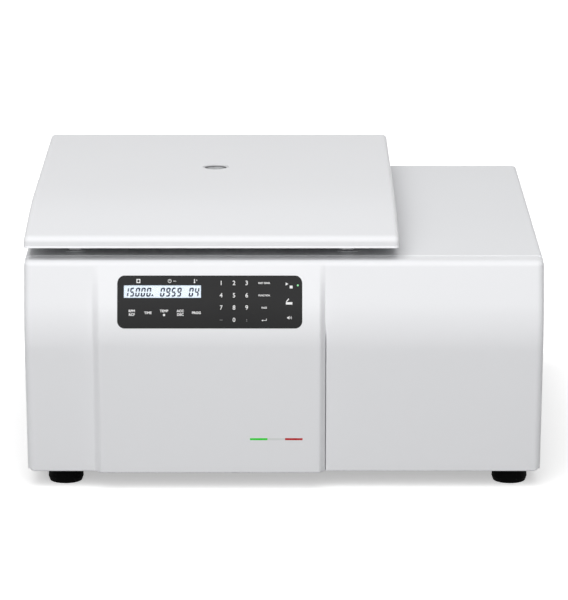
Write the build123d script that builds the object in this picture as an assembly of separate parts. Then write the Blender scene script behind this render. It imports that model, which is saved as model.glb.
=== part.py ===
from build123d import *
import math
import os

# A refrigerated bench centrifuge. Millimetres, +Z up, the bench at Z 0.
# X runs left to right and Y front to back, both from the middle of the whole machine.

# Housing
front_depth = 46.0
deck_height = 278.0
foot_height = 21.5
sheet = 1.5
edge_radius = 6.0
deck_flange = 14.0
return_flange = 14.0
tray_sheet = 2.0
tray_flange = 10.0
fit_gap = 0.3
running_gap = 0.05
overrun = 5.0
fillet_slack = 0.2

# Front moulding: side zones lean at a knee, the control zone stands proud of them
front_wall = 3.0
knee_drop = 83.0
side_knee_radius = 145.0
side_upper_lean = 13.2
control_proud = 8.0
control_knee_radius = 107.0
control_upper_lean = 20.5
lower_lean = 9.0
ledge_radius = 12.0
control_left_in = 79.0
left_bevel = 8.0
right_flank = 7.5
crease_width = 1.2
crease_depth = 1.5

# Keypad film and display on the control zone
keypad_from_control_left = 13.2
keypad_width = 212.8
keypad_to_flank = 20.0
keypad_top_drop = 17.2
keypad_height = 58.6
keypad_corner = 8.7
film = 0.5
film_seat = 0.05
film_edge = 0.1
window_sink = 0.1
window_from_keypad_left = 7.5
window_width = 88.9
window_top_drop = 27.7
window_height = 13.8
window_corner = 0.8
window_cut = 1.0
display_depth = 7.0
display_lip = 4.0
board_height = 42.0
board_thickness = 1.6
boss_radius = 3.0
boss_inset = 14.0
boss_low = 16.0
boss_high = 14.0
led_radius = 1.6
led_clearance = 0.1
led_from_keypad_right = 5.1
led_rise = 7.1

# Lid
lid_side_margin = 27.0
lid_overhang = 25.0
lid_back_step = 20.0
lid_gap = 14.0
lid_height = 31.0
lid_wall = 3.0
lid_corner = 8.0
lid_edge = 5.5
lid_draft = 2.5
lid_front_lean = 8.0
lid_flat_length = 346.0
lid_bend_length = 107.0
lid_front_slope = 8.25
liner_sheet = 1.5
liner_recess = 2.0
liner_edge_gap = 1.0
plug_drop = 8.7
plug_lap = 4.5
plug_corner = 4.0
armour_thickness = 3.0
lid_foam_height = 9.0
lid_screw_inset = 16.0
lid_boss_radius = 5.0
lid_screw_radius = 1.6
lid_screw_length = 8.0
lid_screw_head = 3.5
lid_screw_head_height = 1.6
screw_clearance = 0.2
viewport_radius = 13.7
viewport_wall = 1.5
glass_thickness = 2.0
glass_recess = 1.6
glass_ledge = 1.5

# Lid hinge
hinge_from_lid_back = 9.0
hinge_below_rim = 5.5
knuckle_radius = 5.5
hinge_pin_radius = 2.5
hinge_offset = 150.0
knuckle_length = 12.0
spring_length = 32.0
spring_wire = 1.8
leaf_length = 34.0
leaf_thickness = 3.5

# Chamber, over the drive axis, and the bays round its guard ring
guard_side_gap = 5.0
cooling_bay = 173.0
lock_bay = 77.0
rear_bay = 21.0
bowl_radius = 176.0
bowl_floor_depth = 158.5
bowl_sheet = 1.5
bowl_corner = 14.0
bowl_rim = 20.0
gasket_width = 8.0
gasket_edge = 3.4
gasket_clearance = 0.3
foam_wall = 27.5
guard_wall = 6.0
guard_top_gap = 14.0
foam_floor = 16.0
coil_band = 6.0
coil_low = 18.0
coil_below_rim = 21.5
foam_collar = 3.0
probe_radius = 3.0
probe_length = 14.0
probe_reach = 6.0
probe_collar = 3.0

# Rotor and drive
rotor_height = 100.0
rotor_base_radius = 132.0
rotor_lip = 4.8
rotor_floor_gap = 32.0
pocket_count = 6
pocket_radius = 19.2
pocket_tilt = 25.0
pocket_circle = 68.0
pocket_depth = 92.0
rotor_skirt = 22.0
rotor_chamfer = 10.0
hub_radius = 30.0
hub_sink = 12.0
hub_flare = 8.0
shaft_radius = 8.0
shaft_top_drop = 26.0
shaft_shoulder = 15.0
shoulder_height = 6.0
thread_depth = 20.0
knob_radius = 24.0
knob_height = 14.0
knob_grip_count = 8
knob_grip_radius = 6.0
knob_bolt_radius = 4.0
bolt_end_gap = 2.0
motor_radius = 60.0
motor_clearance = 9.0
motor_floor = 8.0
motor_ribs = 5
motor_rib_depth = 3.0
mount_gap = 3.5
mount_radius = 95.0
mount_thickness = 4.0
damper_count = 4
damper_circle = 78.0
damper_radius = 13.0
damper_height = 18.0
damper_waist = 2.0
post_radius = 9.0
shaft_hole_radius = 24.0
seal_height = 6.0
seal_lap = 6.0

# Lid lock
lock_offset = 158.0
lock_from_seam = 24.0
slot_width = 18.0
slot_depth = 7.4
bezel_wall = 1.0
bezel_flange = 2.0
bezel_height = 1.0
tongue_width = 13.0
tongue_thickness = 3.0
tongue_tip_drop = 22.0
tongue_chamfer = 2.5
tongue_pad = 3.0
tongue_pad_margin = 6.0
window_drop = 12.2
catch_height = 9.6
catch_width = 7.0
lock_shaft_radius = 5.0
lock_arm = 26.5
hook_width = 5.0
hook_band = 4.5
hook_arm_angles = (46.0, 58.0)
hook_nose_angles = (56.0, 84.0)
hook_hub = 3.0
hanger_step = 14.0
lock_shaft_back = 7.0
lock_shaft_overrun = 22.0
lock_motor_radius = 16.0
lock_motor_length = 46.0
bracket_sheet = 4.0
bracket_width = 30.0

# Cooling bay, to the right of the chamber
compressor_radius = 62.0
compressor_height = 150.0
compressor_dome = 26.0
compressor_seam = (67.5, 5.0, 2.5)
compressor_foot = 3.0
compressor_from_right = 86.0
compressor_from_seam = 147.0
grommet_height = 10.0
grommet_radius = 9.0
grommet_margin = 2.0
condenser_width = 200.0
condenser_height = 190.0
condenser_depth = 26.0
condenser_from_back = 34.0
condenser_fin_pitch = 10.0
condenser_fin = 1.2
condenser_plate = 2.0
condenser_tube = 4.0
condenser_rows = (0.3, 0.7)
condenser_lift = 8.0
fan_rim = 15.0
fan_gap = 6.0
fan_depth = 20.0
fan_blades = 5
fan_blade = 1.8
fan_blade_pitch = 35.0
fan_setback = 3.0
fan_hub_radius = 24.0
shroud_depth = 26.0
shroud_sheet = 2.0
fan_motor_radius = 22.0
fan_motor_length = 42.0
fan_motor_bore = 30.0
fan_shaft_radius = 3.0
fan_bar = 8.0
fan_bar_wall = 2.0
fan_bar_foot = 10.0
pipe_radius = 4.0
pipe_bend = 7.0
pipe_stand_off = 14.0
pipe_rise = 18.0
pipe_drop = 30.0
drier_step = 60.0
drier_lift = 70.0
drier_corner = 5.0
drier_radius = 12.0
drier_length = 70.0
louvre_count = 22
louvre_pitch = 8.0
louvre_width = 3.2
louvre_length = 70.0
louvre_gap = 16.0

# Feet
foot_side_inset_left = 42.5
foot_side_inset_right = 34.0
foot_front_inset = 30.0
foot_back_inset = 38.0
foot_low_radius = 19.0
foot_wide_radius = 20.75
foot_top_radius = 19.75
foot_wide_height = 5.0
foot_bore = 3.3
foot_counterbore = 7.0
foot_screw_depth = 12.0
foot_screw_radius = 3.0
foot_screw_head = 6.0
foot_screw_head_height = 4.0
foot_screw_reach = 6.0

# Rear panel and its fittings
rear_dish = 3.5
rear_rim = 14.0
rear_rim_gap = 0.5
panel_screw_radius = 1.9
panel_screw_head = 3.4
panel_screw_margin = 1.0
panel_screw_sink = 0.1
panel_screw_reach = 4.0
panel_screw_rows = 4
vent_count = 12
vent_drop = 48.5
vent_width = 90.0
inlet_from_right = 60.0
inlet_height = 70.0
inlet_recess = (25.0, 17.0, 16.0)
inlet_wall = 3.0
inlet_back = 8.0
inlet_flange = 5.0
inlet_corner = 4.0
flange_thickness = 2.5
inlet_pin = (2.0, 4.0, 10.0)
inlet_pin_pitch = 7.0
earth_pin_offset = 1.5
switch_from_inlet = 52.0
switch_wall = 2.3
switch_flange = 5.0
switch_half_height = 12.0
rocker_side_gap = 0.3
rocker_width = 12.0
rocker_half_height = 10.5
rocker_reach = 6.3
rocker_dip = 1.5
rocker_back = (2.0, 8.0)
rocker_tilt = 8.0
rocker_pivot_depth = 4.0
rocker_pin_radius = 1.2
rocker_pin_length = 0.8
switch_body_depth = 18.0
inverter_size = (120.0, 46.0, 80.0)
inverter_fins = 9
inverter_fin = 3.0
inverter_wall = 10.0
inverter_floor = 6.0
inverter_gap = 3.0
board_size = (180.0, 52.0)
board_gap = 4.0
board_from_crease = 14.0
board_post = 8.0
board_post_inset = 8.0
board_post_radius = 3.0
transformer = (20.0, 12.0, 42.0, 32.0, 20.0)
capacitor_places = (90.0, 126.0)
capacitor_radius = 14.0
capacitor_height = 28.0

# Places worked out from the sizes above
gasket_inner = bowl_radius + bowl_sheet
gasket_outer = gasket_inner + gasket_width
plug_radius = gasket_outer + plug_lap
guard_radius = bowl_radius + bowl_sheet + foam_wall
guard_outer = guard_radius + guard_wall
chamber_from_left = guard_side_gap + guard_outer
chamber_from_seam = lock_bay + guard_outer
body_width = chamber_from_left + guard_outer + cooling_bay
overall_depth = front_depth + chamber_from_seam + guard_outer + rear_bay
right_x = body_width / 2
left_x = -right_x
back_y = overall_depth / 2
seam_y = front_depth - back_y
chamber_x = left_x + chamber_from_left
chamber_y = seam_y + chamber_from_seam
flange_z = deck_height - deck_flange
tray_top = foot_height + tray_sheet
rim_z = deck_height + lid_gap
lid_top = rim_z + lid_height
lid_back = back_y - lid_back_step
lid_front = seam_y - lid_overhang
lid_length = lid_back - lid_front
lid_width = chamber_from_left + plug_radius + lid_side_margin
knee_height = deck_height - knee_drop
liner_z = rim_z + liner_recess
plug_z = liner_z - plug_drop
hinge_y = lid_back - hinge_from_lid_back
hinge_z = rim_z - hinge_below_rim
bowl_floor = deck_height - bowl_floor_depth
bowl_rim_z = deck_height - sheet - bowl_sheet
coil_high = bowl_rim_z - bowl_floor - coil_below_rim
gasket_top = plug_z - gasket_clearance
rotor_z = bowl_floor + rotor_floor_gap
rotor_top = rotor_z + rotor_height
shaft_top = rotor_top - shaft_top_drop
motor_top = bowl_floor - bowl_sheet - foam_floor - mount_gap - mount_thickness
motor_z = tray_top + motor_clearance
motor_rib_pitch = (motor_top - motor_z) / (motor_ribs + 1.2)
rotor_top_radius = pocket_circle + pocket_radius / math.cos(math.radians(pocket_tilt)) + rotor_lip
lock_y = seam_y + lock_from_seam
lock_shaft_y = lock_y + lock_shaft_back
tongue_tip = deck_height - tongue_tip_drop
catch_z = deck_height - window_drop
lock_shaft_z = catch_z - lock_arm
lock_places = (chamber_x - lock_offset, chamber_x + lock_offset)
hinge_places = (chamber_x - hinge_offset, chamber_x + hinge_offset)
foot_places = {
    "foot_front_left": (left_x + foot_side_inset_left, seam_y + foot_front_inset),
    "foot_front_right": (right_x - foot_side_inset_right, seam_y + foot_front_inset),
    "foot_rear_left": (left_x + foot_side_inset_left, back_y - foot_back_inset),
    "foot_rear_right": (right_x - foot_side_inset_right, back_y - foot_back_inset),
}
compressor_x = right_x - compressor_from_right
compressor_y = seam_y + compressor_from_seam
condenser_face = right_x - sheet - tray_sheet - fit_gap
condenser_inner = condenser_face - condenser_depth
condenser_y1 = back_y - condenser_from_back
condenser_y0 = condenser_y1 - condenser_width
condenser_z0 = tray_top + condenser_lift
fan_radius = condenser_height / 2 - fan_rim
fan_y = (condenser_y0 + condenser_y1) / 2
fan_z = condenser_z0 + condenser_height / 2
rear_face = back_y - sheet - rear_dish
inlet_x = right_x - inlet_from_right
inlet_z = foot_height + inlet_height
switch_x = inlet_x - switch_from_inlet
switch_half_x = rocker_width / 2 + rocker_side_gap
pin_plane = rear_face + flange_thickness - inlet_recess[2]
control_left_x = left_x + control_left_in + left_bevel
keypad_x0 = control_left_x + left_bevel + keypad_from_control_left
keypad_x1 = keypad_x0 + keypad_width
control_right_x = keypad_x1 + keypad_to_flank
crease_x = control_right_x + right_flank
keypad_z1 = deck_height - keypad_top_drop
keypad_z0 = keypad_z1 - keypad_height
window_x0 = keypad_x0 + window_from_keypad_left
window_x1 = window_x0 + window_width
window_z1 = deck_height - window_top_drop
window_z0 = window_z1 - window_height
front_span = (seam_y - front_depth - overrun, seam_y - 1)
pipe_y = condenser_y0 - pipe_stand_off
fan_motor_face = condenser_inner - shroud_depth - fan_bar


def slab(x0, x1, y0, y1, z0, z1):
    """A box between two corners."""
    centre = Pos((x0 + x1) / 2, (y0 + y1) / 2, (z0 + z1) / 2)
    return centre * Box(x1 - x0, y1 - y0, z1 - z0)


def drum(x, y, z0, z1, radius):
    """An upright cylinder."""
    return Pos(x, y, (z0 + z1) / 2) * Cylinder(radius, z1 - z0)


def ring(x, y, z0, z1, outer, inner):
    """An upright tube."""
    return drum(x, y, z0, z1, outer) - drum(x, y, z0, z1, inner)


def rod_x(x0, x1, y, z, radius):
    """A cylinder along X."""
    return Pos((x0 + x1) / 2, y, z) * Rot(0, 90, 0) * Cylinder(radius, x1 - x0)


def rod_y(x, y0, y1, z, radius):
    """A cylinder along Y."""
    return Pos(x, (y0 + y1) / 2, z) * Rot(90, 0, 0) * Cylinder(radius, y1 - y0)


def obround(x, y, z0, z1, length, width):
    """An upright slot shape, longest along X."""
    face = SlotOverall(length, width)
    return extrude(Pos(x, y, z0) * face, z1 - z0)


def join(shapes):
    """One shape fused from several that touch or overlap."""
    total = shapes[0]
    for shape in shapes[1:]:
        total = total + shape
    return total


def group(shapes):
    """Separate solids kept in one node."""
    solids = []
    for shape in shapes:
        solids.extend(shape.solids())
    return Compound(children=solids)


def save(name, shape):
    """Write one node."""
    export_step(shape, f"parts/{name}.step")


# Housing


def housing_block(inset, z0, z1):
    """The housing's plan as a block, with rounded back corners, drawn in by inset."""
    block = slab(left_x + inset, right_x - inset, seam_y + inset, back_y - inset, z0, z1)
    corners = block.edges().filter_by(Axis.Z).group_by(Axis.Y)[-1]
    return fillet(corners, edge_radius - inset)


def wall_ring(z0, z1):
    """The sheet wall that follows the housing's plan."""
    return housing_block(0, z0, z1) - housing_block(sheet, z0, z1)


def deck_shell():
    """Deck sheet with rounded side and back edges and a turned-down flange."""
    block = housing_block(0, flange_z, deck_height)
    top_edges = block.edges().group_by(Axis.Z)[-1]
    front = top_edges.sort_by(Axis.Y)[0]
    block = fillet([edge for edge in top_edges if edge != front], edge_radius - fillet_slack)
    hollow = housing_block(sheet, flange_z - overrun, deck_height - sheet)
    roof = hollow.edges().group_by(Axis.Z)[-1]
    inner_front = roof.sort_by(Axis.Y)[0]
    hollow = fillet([edge for edge in roof if edge != inner_front], edge_radius - sheet - fillet_slack)
    return block - hollow


def top_deck():
    deck = deck_shell()
    deck -= drum(chamber_x, chamber_y, flange_z, deck_height + overrun, gasket_outer + fit_gap)
    hole = 2 * (bezel_wall + fit_gap)
    for x in lock_places:
        deck -= obround(x, lock_y, flange_z, deck_height + overrun, slot_width + hole, slot_depth + hole)
    return deck


def side_panel(side):
    """Side sheet with a return flange at the back and at the seam."""
    edge = side * right_x
    inner = side * (right_x - return_flange)
    keep = slab(min(edge, inner), max(edge, inner), seam_y, back_y, foot_height, flange_z)
    panel = wall_ring(foot_height, flange_z) & keep
    for z in panel_screw_heights():
        hole = panel_screw_head + screw_clearance
        panel -= rod_y(panel_screw_x(side), back_y - sheet - overrun, back_y + overrun, z, hole)
    return panel


def side_panel_right():
    """The right side sheet, with louvres over the condenser."""
    panel = side_panel(1)
    for row in (-1, 1):
        middle = fan_y + row * (louvre_length + louvre_gap) / 2
        for step in range(louvre_count):
            z = fan_z + (step - (louvre_count - 1) / 2) * louvre_pitch
            ends = louvre_length / 2 - louvre_width / 2
            slot = slab(right_x - 2 * sheet, right_x + sheet, middle - ends, middle + ends,
                        z - louvre_width / 2, z + louvre_width / 2)
            for end in (-ends, ends):
                slot += rod_x(right_x - 2 * sheet, right_x + sheet, middle + end, z, louvre_width / 2)
            panel -= slot
    return panel


def panel_screw_x(side):
    """The column of rear panel screws, just inside a return flange's free edge."""
    return side * (right_x - return_flange + panel_screw_head + panel_screw_margin)


def panel_screw_heights():
    """Heights of the rear panel's screws, evenly spread."""
    low = foot_height + rear_rim
    high = flange_z - rear_rim
    return [low + step * (high - low) / (panel_screw_rows - 1) for step in range(panel_screw_rows)]


def rear_panel():
    """Pressed rear panel: its rim lies behind the return flanges, its middle is dished in."""
    half = right_x - edge_radius - rear_rim_gap
    top = deck_height - edge_radius - rear_rim_gap
    rim_face = back_y - sheet
    outer = slab(-half, half, rear_face - sheet, rim_face, foot_height, top)
    dish = slab(-half + rear_rim, half - rear_rim, rear_face, rim_face + overrun,
                foot_height + rear_rim, top - rear_rim)
    back = slab(-half - overrun, half + overrun, rear_face - sheet - overrun, rim_face - sheet,
                foot_height - overrun, top + overrun)
    side = half - rear_rim + sheet
    back -= slab(-side, side, rear_face - sheet - 2 * overrun, rim_face,
                 foot_height + rear_rim - sheet, top - rear_rim + sheet)
    panel = outer - dish - back
    for side in (-1, 1):
        for z in panel_screw_heights():
            hole = panel_screw_radius + screw_clearance
            panel -= rod_y(panel_screw_x(side), rear_face - overrun, back_y, z, hole)
    wide, high, deep = inlet_recess
    panel -= rear_opening(inlet_x, inlet_z, wide / 2 + inlet_wall, high / 2 + inlet_wall)
    panel -= rear_opening(switch_x, inlet_z, switch_half_x + switch_wall, switch_half_height + switch_wall)
    for step in range(vent_count):
        z = deck_height - vent_drop - step * louvre_pitch
        middle = (inlet_x + switch_x) / 2
        panel -= rear_opening(middle, z, vent_width / 2 - fit_gap, louvre_width / 2 - fit_gap)
    return panel


def rear_opening(x, z, half_width, half_height):
    """A cut through the dished face, a little larger than what goes in it."""
    x_reach = half_width + fit_gap
    z_reach = half_height + fit_gap
    return slab(x - x_reach, x + x_reach, rear_face - sheet - overrun, rear_face + overrun,
                z - z_reach, z + z_reach)


def housing_screws():
    """Screws whose heads lie flush in the return flanges, against the rear panel."""
    screws = []
    seat = back_y - sheet
    for side in (-1, 1):
        for z in panel_screw_heights():
            head = rod_y(panel_screw_x(side), seat, back_y - panel_screw_sink, z, panel_screw_head)
            shank = rod_y(panel_screw_x(side), rear_face - panel_screw_reach, seat, z, panel_screw_radius)
            screws.append(head + shank)
    return group(screws)


def base_plate():
    """Base tray with an upturned flange all round."""
    outer = slab(left_x + sheet, right_x - sheet, seam_y + sheet, back_y - 2 * sheet, foot_height,
                 tray_top + tray_flange)
    corners = outer.edges().filter_by(Axis.Z).group_by(Axis.Y)[-1]
    outer = fillet(corners, edge_radius)
    inner = slab(left_x + sheet + tray_sheet, right_x - sheet - tray_sheet, seam_y + sheet + tray_sheet,
                 back_y - 2 * sheet - tray_sheet, tray_top, tray_top + tray_flange + overrun)
    inner_corners = inner.edges().filter_by(Axis.Z).group_by(Axis.Y)[-1]
    tray = outer - fillet(inner_corners, edge_radius - tray_sheet)
    for x, y in foot_places.values():
        tray -= drum(x, y, foot_height - overrun, tray_top + overrun, foot_bore)
    return tray


def foot(x, y):
    """Rubber foot, flared low down, with a counterbore for its screw."""
    outline = Polyline((0, 0), (foot_low_radius, 0), (foot_wide_radius, foot_wide_height),
                       (foot_top_radius, foot_height), (0, foot_height), (0, 0))
    body = revolve(Plane.XZ * make_face(outline), Axis.Z)
    body = Pos(x, y, 0) * body
    body -= drum(x, y, -overrun, foot_height + overrun, foot_bore)
    return body - drum(x, y, -overrun, foot_screw_depth, foot_counterbore)


def foot_screws():
    screws = []
    for x, y in foot_places.values():
        head_z = foot_screw_depth - foot_screw_head_height
        head = drum(x, y, head_z, foot_screw_depth, foot_screw_head)
        shank = drum(x, y, foot_screw_depth, tray_top + foot_screw_reach, foot_screw_radius)
        screws.append(head + shank)
    return group(screws)


# Front moulding


def corner_arc(corner, toward_a, toward_b, radius):
    """Start, middle and end of a round corner between two directions."""
    a = Vector(*toward_a).normalized()
    b = Vector(*toward_b).normalized()
    half = math.radians(a.get_angle(b)) / 2
    reach = radius / math.tan(half)
    corner = Vector(*corner)
    bisector = (a + b).normalized()
    centre = corner + bisector * (radius / math.sin(half))
    return corner + a * reach, centre - bisector * radius, corner + b * reach


def front_section(proud, knee_radius, upper_lean, inset, back):
    """The moulding's side profile: ledge, leaning upper face, round knee, lower face."""
    upper = math.radians(upper_lean)
    lower = math.radians(lower_lean)
    centre_y = seam_y - front_depth + control_proud - proud + knee_radius
    radius = knee_radius - inset
    top = deck_height - inset
    bottom = foot_height + inset
    knee_top = (centre_y - radius * math.cos(upper), knee_height + radius * math.sin(upper))
    knee_front = (centre_y - radius, knee_height)
    knee_low = (centre_y - radius * math.cos(lower), knee_height - radius * math.sin(lower))
    rise = (top - knee_top[1]) / math.cos(upper)
    ledge_corner = (knee_top[0] + rise * math.sin(upper), top)
    fall = (knee_low[1] - bottom) / math.cos(lower)
    bottom_corner = (knee_low[0] + fall * math.sin(lower), bottom)
    ledge = corner_arc(ledge_corner, (1, 0), (-math.sin(upper), -math.cos(upper)), ledge_radius - inset)
    edges = [
        Line((back, top), ledge[0]),
        ThreePointArc(ledge[0], ledge[1], ledge[2]),
        Line(ledge[2], knee_top),
        ThreePointArc(knee_top, knee_front, knee_low),
        Line(knee_low, bottom_corner),
        Line(bottom_corner, (back, bottom)),
        Line((back, bottom), (back, top)),
    ]
    return make_face(edges)


def side_section(inset, back):
    return front_section(0, side_knee_radius, side_upper_lean, inset, back)


def control_section(inset, back):
    return front_section(control_proud, control_knee_radius, control_upper_lean, inset, back)


def at_x(x, face):
    """A face drawn in (Y, Z) placed at X."""
    return Plane.YZ.offset(x) * face


def zone(face, x0, x1):
    return extrude(at_x(x0, face), x1 - x0)


def blend(face_a, x_a, face_b, x_b):
    return loft([at_x(x_a, face_a), at_x(x_b, face_b)], ruled=True)


def moulding_block(inset, back):
    """The moulding's outer form, or its hollow when inset is the wall."""
    side = side_section(inset, back)
    control = control_section(inset, back)
    shift = inset / 2
    bevel_x = control_left_x - left_bevel + shift
    parts = [
        zone(side, left_x + inset, bevel_x),
        blend(side, bevel_x, control, control_left_x + shift),
        zone(control, control_left_x + shift, control_right_x - shift),
        blend(control, control_right_x - shift, side, crease_x - shift),
        zone(side, crease_x - shift, right_x - inset),
    ]
    return join(parts)


def front_window(x0, x1, z0, z1, radius, y0, y1):
    """A rounded rectangle through the front, seen square on from the front."""
    face = RectangleRounded(x1 - x0, z1 - z0, radius)
    placed = Pos((x0 + x1) / 2, y1, (z0 + z1) / 2) * Rot(90, 0, 0) * face
    return extrude(placed, y1 - y0, dir=(0, -1, 0))


def control_band(inner, outer):
    """A layer of the control zone's front, between two distances outward from its face."""
    layer = zone(control_section(-outer, seam_y), control_left_x, control_right_x)
    inside = control_section(-inner, seam_y + overrun)
    return layer - zone(inside, control_left_x - overrun, control_right_x + overrun)


def display_plane():
    """The flat upper face of the control zone, at the middle of the display window."""
    upper = math.radians(control_upper_lean)
    centre_y = seam_y - front_depth + control_knee_radius
    knee_top_y = centre_y - control_knee_radius * math.cos(upper)
    knee_top_z = knee_height + control_knee_radius * math.sin(upper)
    middle_z = (window_z0 + window_z1) / 2
    middle_y = knee_top_y + (middle_z - knee_top_z) * math.tan(upper)
    origin = ((window_x0 + window_x1) / 2, middle_y, middle_z)
    return Plane(origin=origin, x_dir=(1, 0, 0), z_dir=(0, -math.cos(upper), math.sin(upper)))


def board_bosses():
    """Bosses behind the display that the keypad board is fixed to."""
    face = display_plane()
    reach = front_wall + display_depth
    left = keypad_middle() - keypad_width / 2 + boss_inset
    right = keypad_middle() + keypad_width / 2 - boss_inset
    low = front_wall / 2
    bosses = []
    for dx in (left, right):
        for dy in (-boss_low, boss_high):
            bosses.append(face * Pos(dx, dy, -(low + reach) / 2) * Cylinder(boss_radius, reach - low))
    return bosses


def keypad_middle():
    """Middle of the keypad, along the display plane from the middle of the window."""
    return (keypad_width - window_width) / 2 - window_from_keypad_left


def front_panel():
    panel = moulding_block(0, seam_y)
    ends = panel.faces().filter_by(Axis.X).sort_by(Axis.X)
    rims = []
    for end in (ends[0], ends[-1]):
        for edge in end.edges():
            middle = edge.position_at(0.5)
            if middle.Y < seam_y - fit_gap and middle.Z > foot_height + fit_gap:
                rims.append(edge)
    panel = fillet(rims, edge_radius - fillet_slack)
    panel -= moulding_block(front_wall, seam_y + overrun)
    groove = zone(side_section(-crease_depth, seam_y), crease_x, crease_x + crease_width)
    groove -= zone(side_section(crease_depth, seam_y + overrun), crease_x - overrun, crease_x + overrun)
    crease_top = knee_height - side_knee_radius * math.sin(math.radians(lower_lean))
    panel -= groove & slab(crease_x - overrun, crease_x + overrun, *front_span, 0, crease_top)
    pocket = control_band(-film - film_seat, overrun)
    panel -= pocket & front_window(keypad_x0 - film_edge, keypad_x1 + film_edge, keypad_z0 - film_edge,
                                   keypad_z1 + film_edge, keypad_corner + film_edge, *front_span)
    panel -= front_window(window_x0 - window_cut, window_x1 + window_cut, window_z0 - window_cut,
                          window_z1 + window_cut, window_corner + window_cut, *front_span)
    panel -= led_place() * Cylinder(led_radius + led_clearance, 4 * front_wall)
    for boss in board_bosses():
        panel += boss
    return panel


def led_place():
    """The status lamp's place on the upper right of the keypad."""
    face = display_plane()
    return face * Pos(keypad_middle() + keypad_width / 2 - led_from_keypad_right, led_rise, 0)


def keypad_overlay():
    film_solid = control_band(-film, 0)
    outline = front_window(keypad_x0, keypad_x1, keypad_z0, keypad_z1, keypad_corner, *front_span)
    window = front_window(window_x0, window_x1, window_z0, window_z1, window_corner, *front_span)
    film_solid = film_solid & outline
    film_solid -= led_place() * Cylinder(led_radius + led_clearance, 4 * front_wall)
    return film_solid - window


def lcd_window():
    film_solid = control_band(-film, -window_sink)
    window = front_window(window_x0 + film_edge, window_x1 - film_edge, window_z0 + film_edge,
                          window_z1 - film_edge, window_corner - film_edge, *front_span)
    return film_solid & window


def display_box(width, height, near, far):
    """A block lying along the display plane, between two depths behind its face."""
    face = display_plane()
    return face * Pos(0, 0, -(near + far) / 2) * Box(width, height, far - near)


def lcd_module():
    height = window_height / math.cos(math.radians(control_upper_lean))
    far = front_wall + display_depth
    glass = display_box(window_width - window_cut, height - window_cut, film + fit_gap, far)
    frame = display_box(window_width + 2 * display_lip, height + display_lip, front_wall + fit_gap, far)
    return glass + frame


def keypad_board():
    near = front_wall + display_depth
    face = display_plane()
    plate = face * Pos(keypad_middle(), (boss_high - boss_low) / 2, -near - board_thickness / 2)
    return plate * Box(keypad_width, board_height, board_thickness)


def status_led():
    depth = front_wall + display_depth
    lamp = led_place() * Pos(0, 0, -depth / 2) * Cylinder(led_radius, depth)
    return lamp


# Lid


def lid_profile(inset):
    """Side profile of the lid in (Y, Z): flat, then a long bend, then a straight fall."""
    slope = math.radians(lid_front_slope)
    bend_radius = lid_bend_length / math.sin(slope)
    radius = bend_radius - inset
    top = lid_top - inset
    bend_y = lid_back - lid_flat_length
    centre = (bend_y, lid_top - bend_radius)
    bend_middle = (centre[0] - radius * math.sin(slope / 2), centre[1] + radius * math.cos(slope / 2))
    bend_end = (centre[0] - radius * math.sin(slope), centre[1] + radius * math.cos(slope))
    lean = math.tan(math.radians(lid_front_lean))
    low = rim_z if inset == 0 else rim_z - overrun
    front_low = lid_front + inset / math.cos(math.radians(lid_front_lean)) + (low - rim_z) * lean
    fall = math.tan(slope)
    front_z = (bend_end[1] - (bend_end[0] - front_low + low * lean) * fall) / (1 - lean * fall)
    front = front_low + (front_z - low) * lean
    back = lid_back + overrun
    edges = [
        Line((back, top), (bend_y, top)),
        ThreePointArc((bend_y, top), bend_middle, bend_end),
        Line(bend_end, (front, front_z)),
        Line((front, front_z), (front_low, low)),
        Line((front_low, low), (back, low)),
        Line((back, low), (back, top)),
    ]
    return make_face(edges)


def lid_block(inset):
    """The lid's outer form, or its hollow when inset is the wall."""
    sides = zone(lid_profile(inset), left_x - overrun, left_x + lid_width + overrun)
    low = rim_z if inset == 0 else rim_z - overrun
    plan = RectangleRounded(lid_width - 2 * inset, lid_length - 2 * inset, lid_corner - inset)
    middle = Pos(left_x + lid_width / 2, lid_back - lid_length / 2, low)
    tapered = extrude(middle * plan, lid_top + overrun - low, taper=lid_draft)
    return sides & tapered


def lid_cover():
    block = lid_block(0)
    rims = []
    for edge in block.edges():
        middle = edge.position_at(0.5)
        upright = abs(edge.tangent_at(0.5).Z) > 0.5
        across = abs(edge.tangent_at(0.5).X) > 0.9
        inside = lid_front + 2 * lid_edge < middle.Y < lid_back - 2 * lid_edge
        if middle.Z > rim_z + fit_gap and not upright and not (across and inside):
            rims.append(edge)
    cover = fillet(rims, lid_edge)
    solid_block = cover
    cover = cover - lid_block(lid_wall)
    for x, y in lid_screw_places():
        boss = drum(x, y, liner_z + liner_sheet, lid_top, lid_boss_radius) & solid_block
        pilot = drum(x, y, liner_z, liner_z + lid_screw_length + 1, lid_screw_radius + screw_clearance)
        cover = cover + boss - pilot
    return cover - viewport_hole()


def viewport_hole():
    """The hole for the viewport sleeve through everything in the lid."""
    radius = viewport_radius + viewport_wall + film_edge
    return drum(chamber_x, chamber_y, plug_z - overrun, lid_top + overrun, radius)


def lid_screw_places():
    """Two rows of three screws, clear of the plug."""
    x_low = left_x + lid_screw_inset
    x_high = left_x + lid_width - lid_screw_inset
    x_middle = (x_low + x_high) / 2
    y_low = lid_front + lid_screw_inset
    y_high = lid_back - lid_screw_inset
    return [(x, y) for y in (y_low, y_high) for x in (x_low, x_middle, x_high)]


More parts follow.
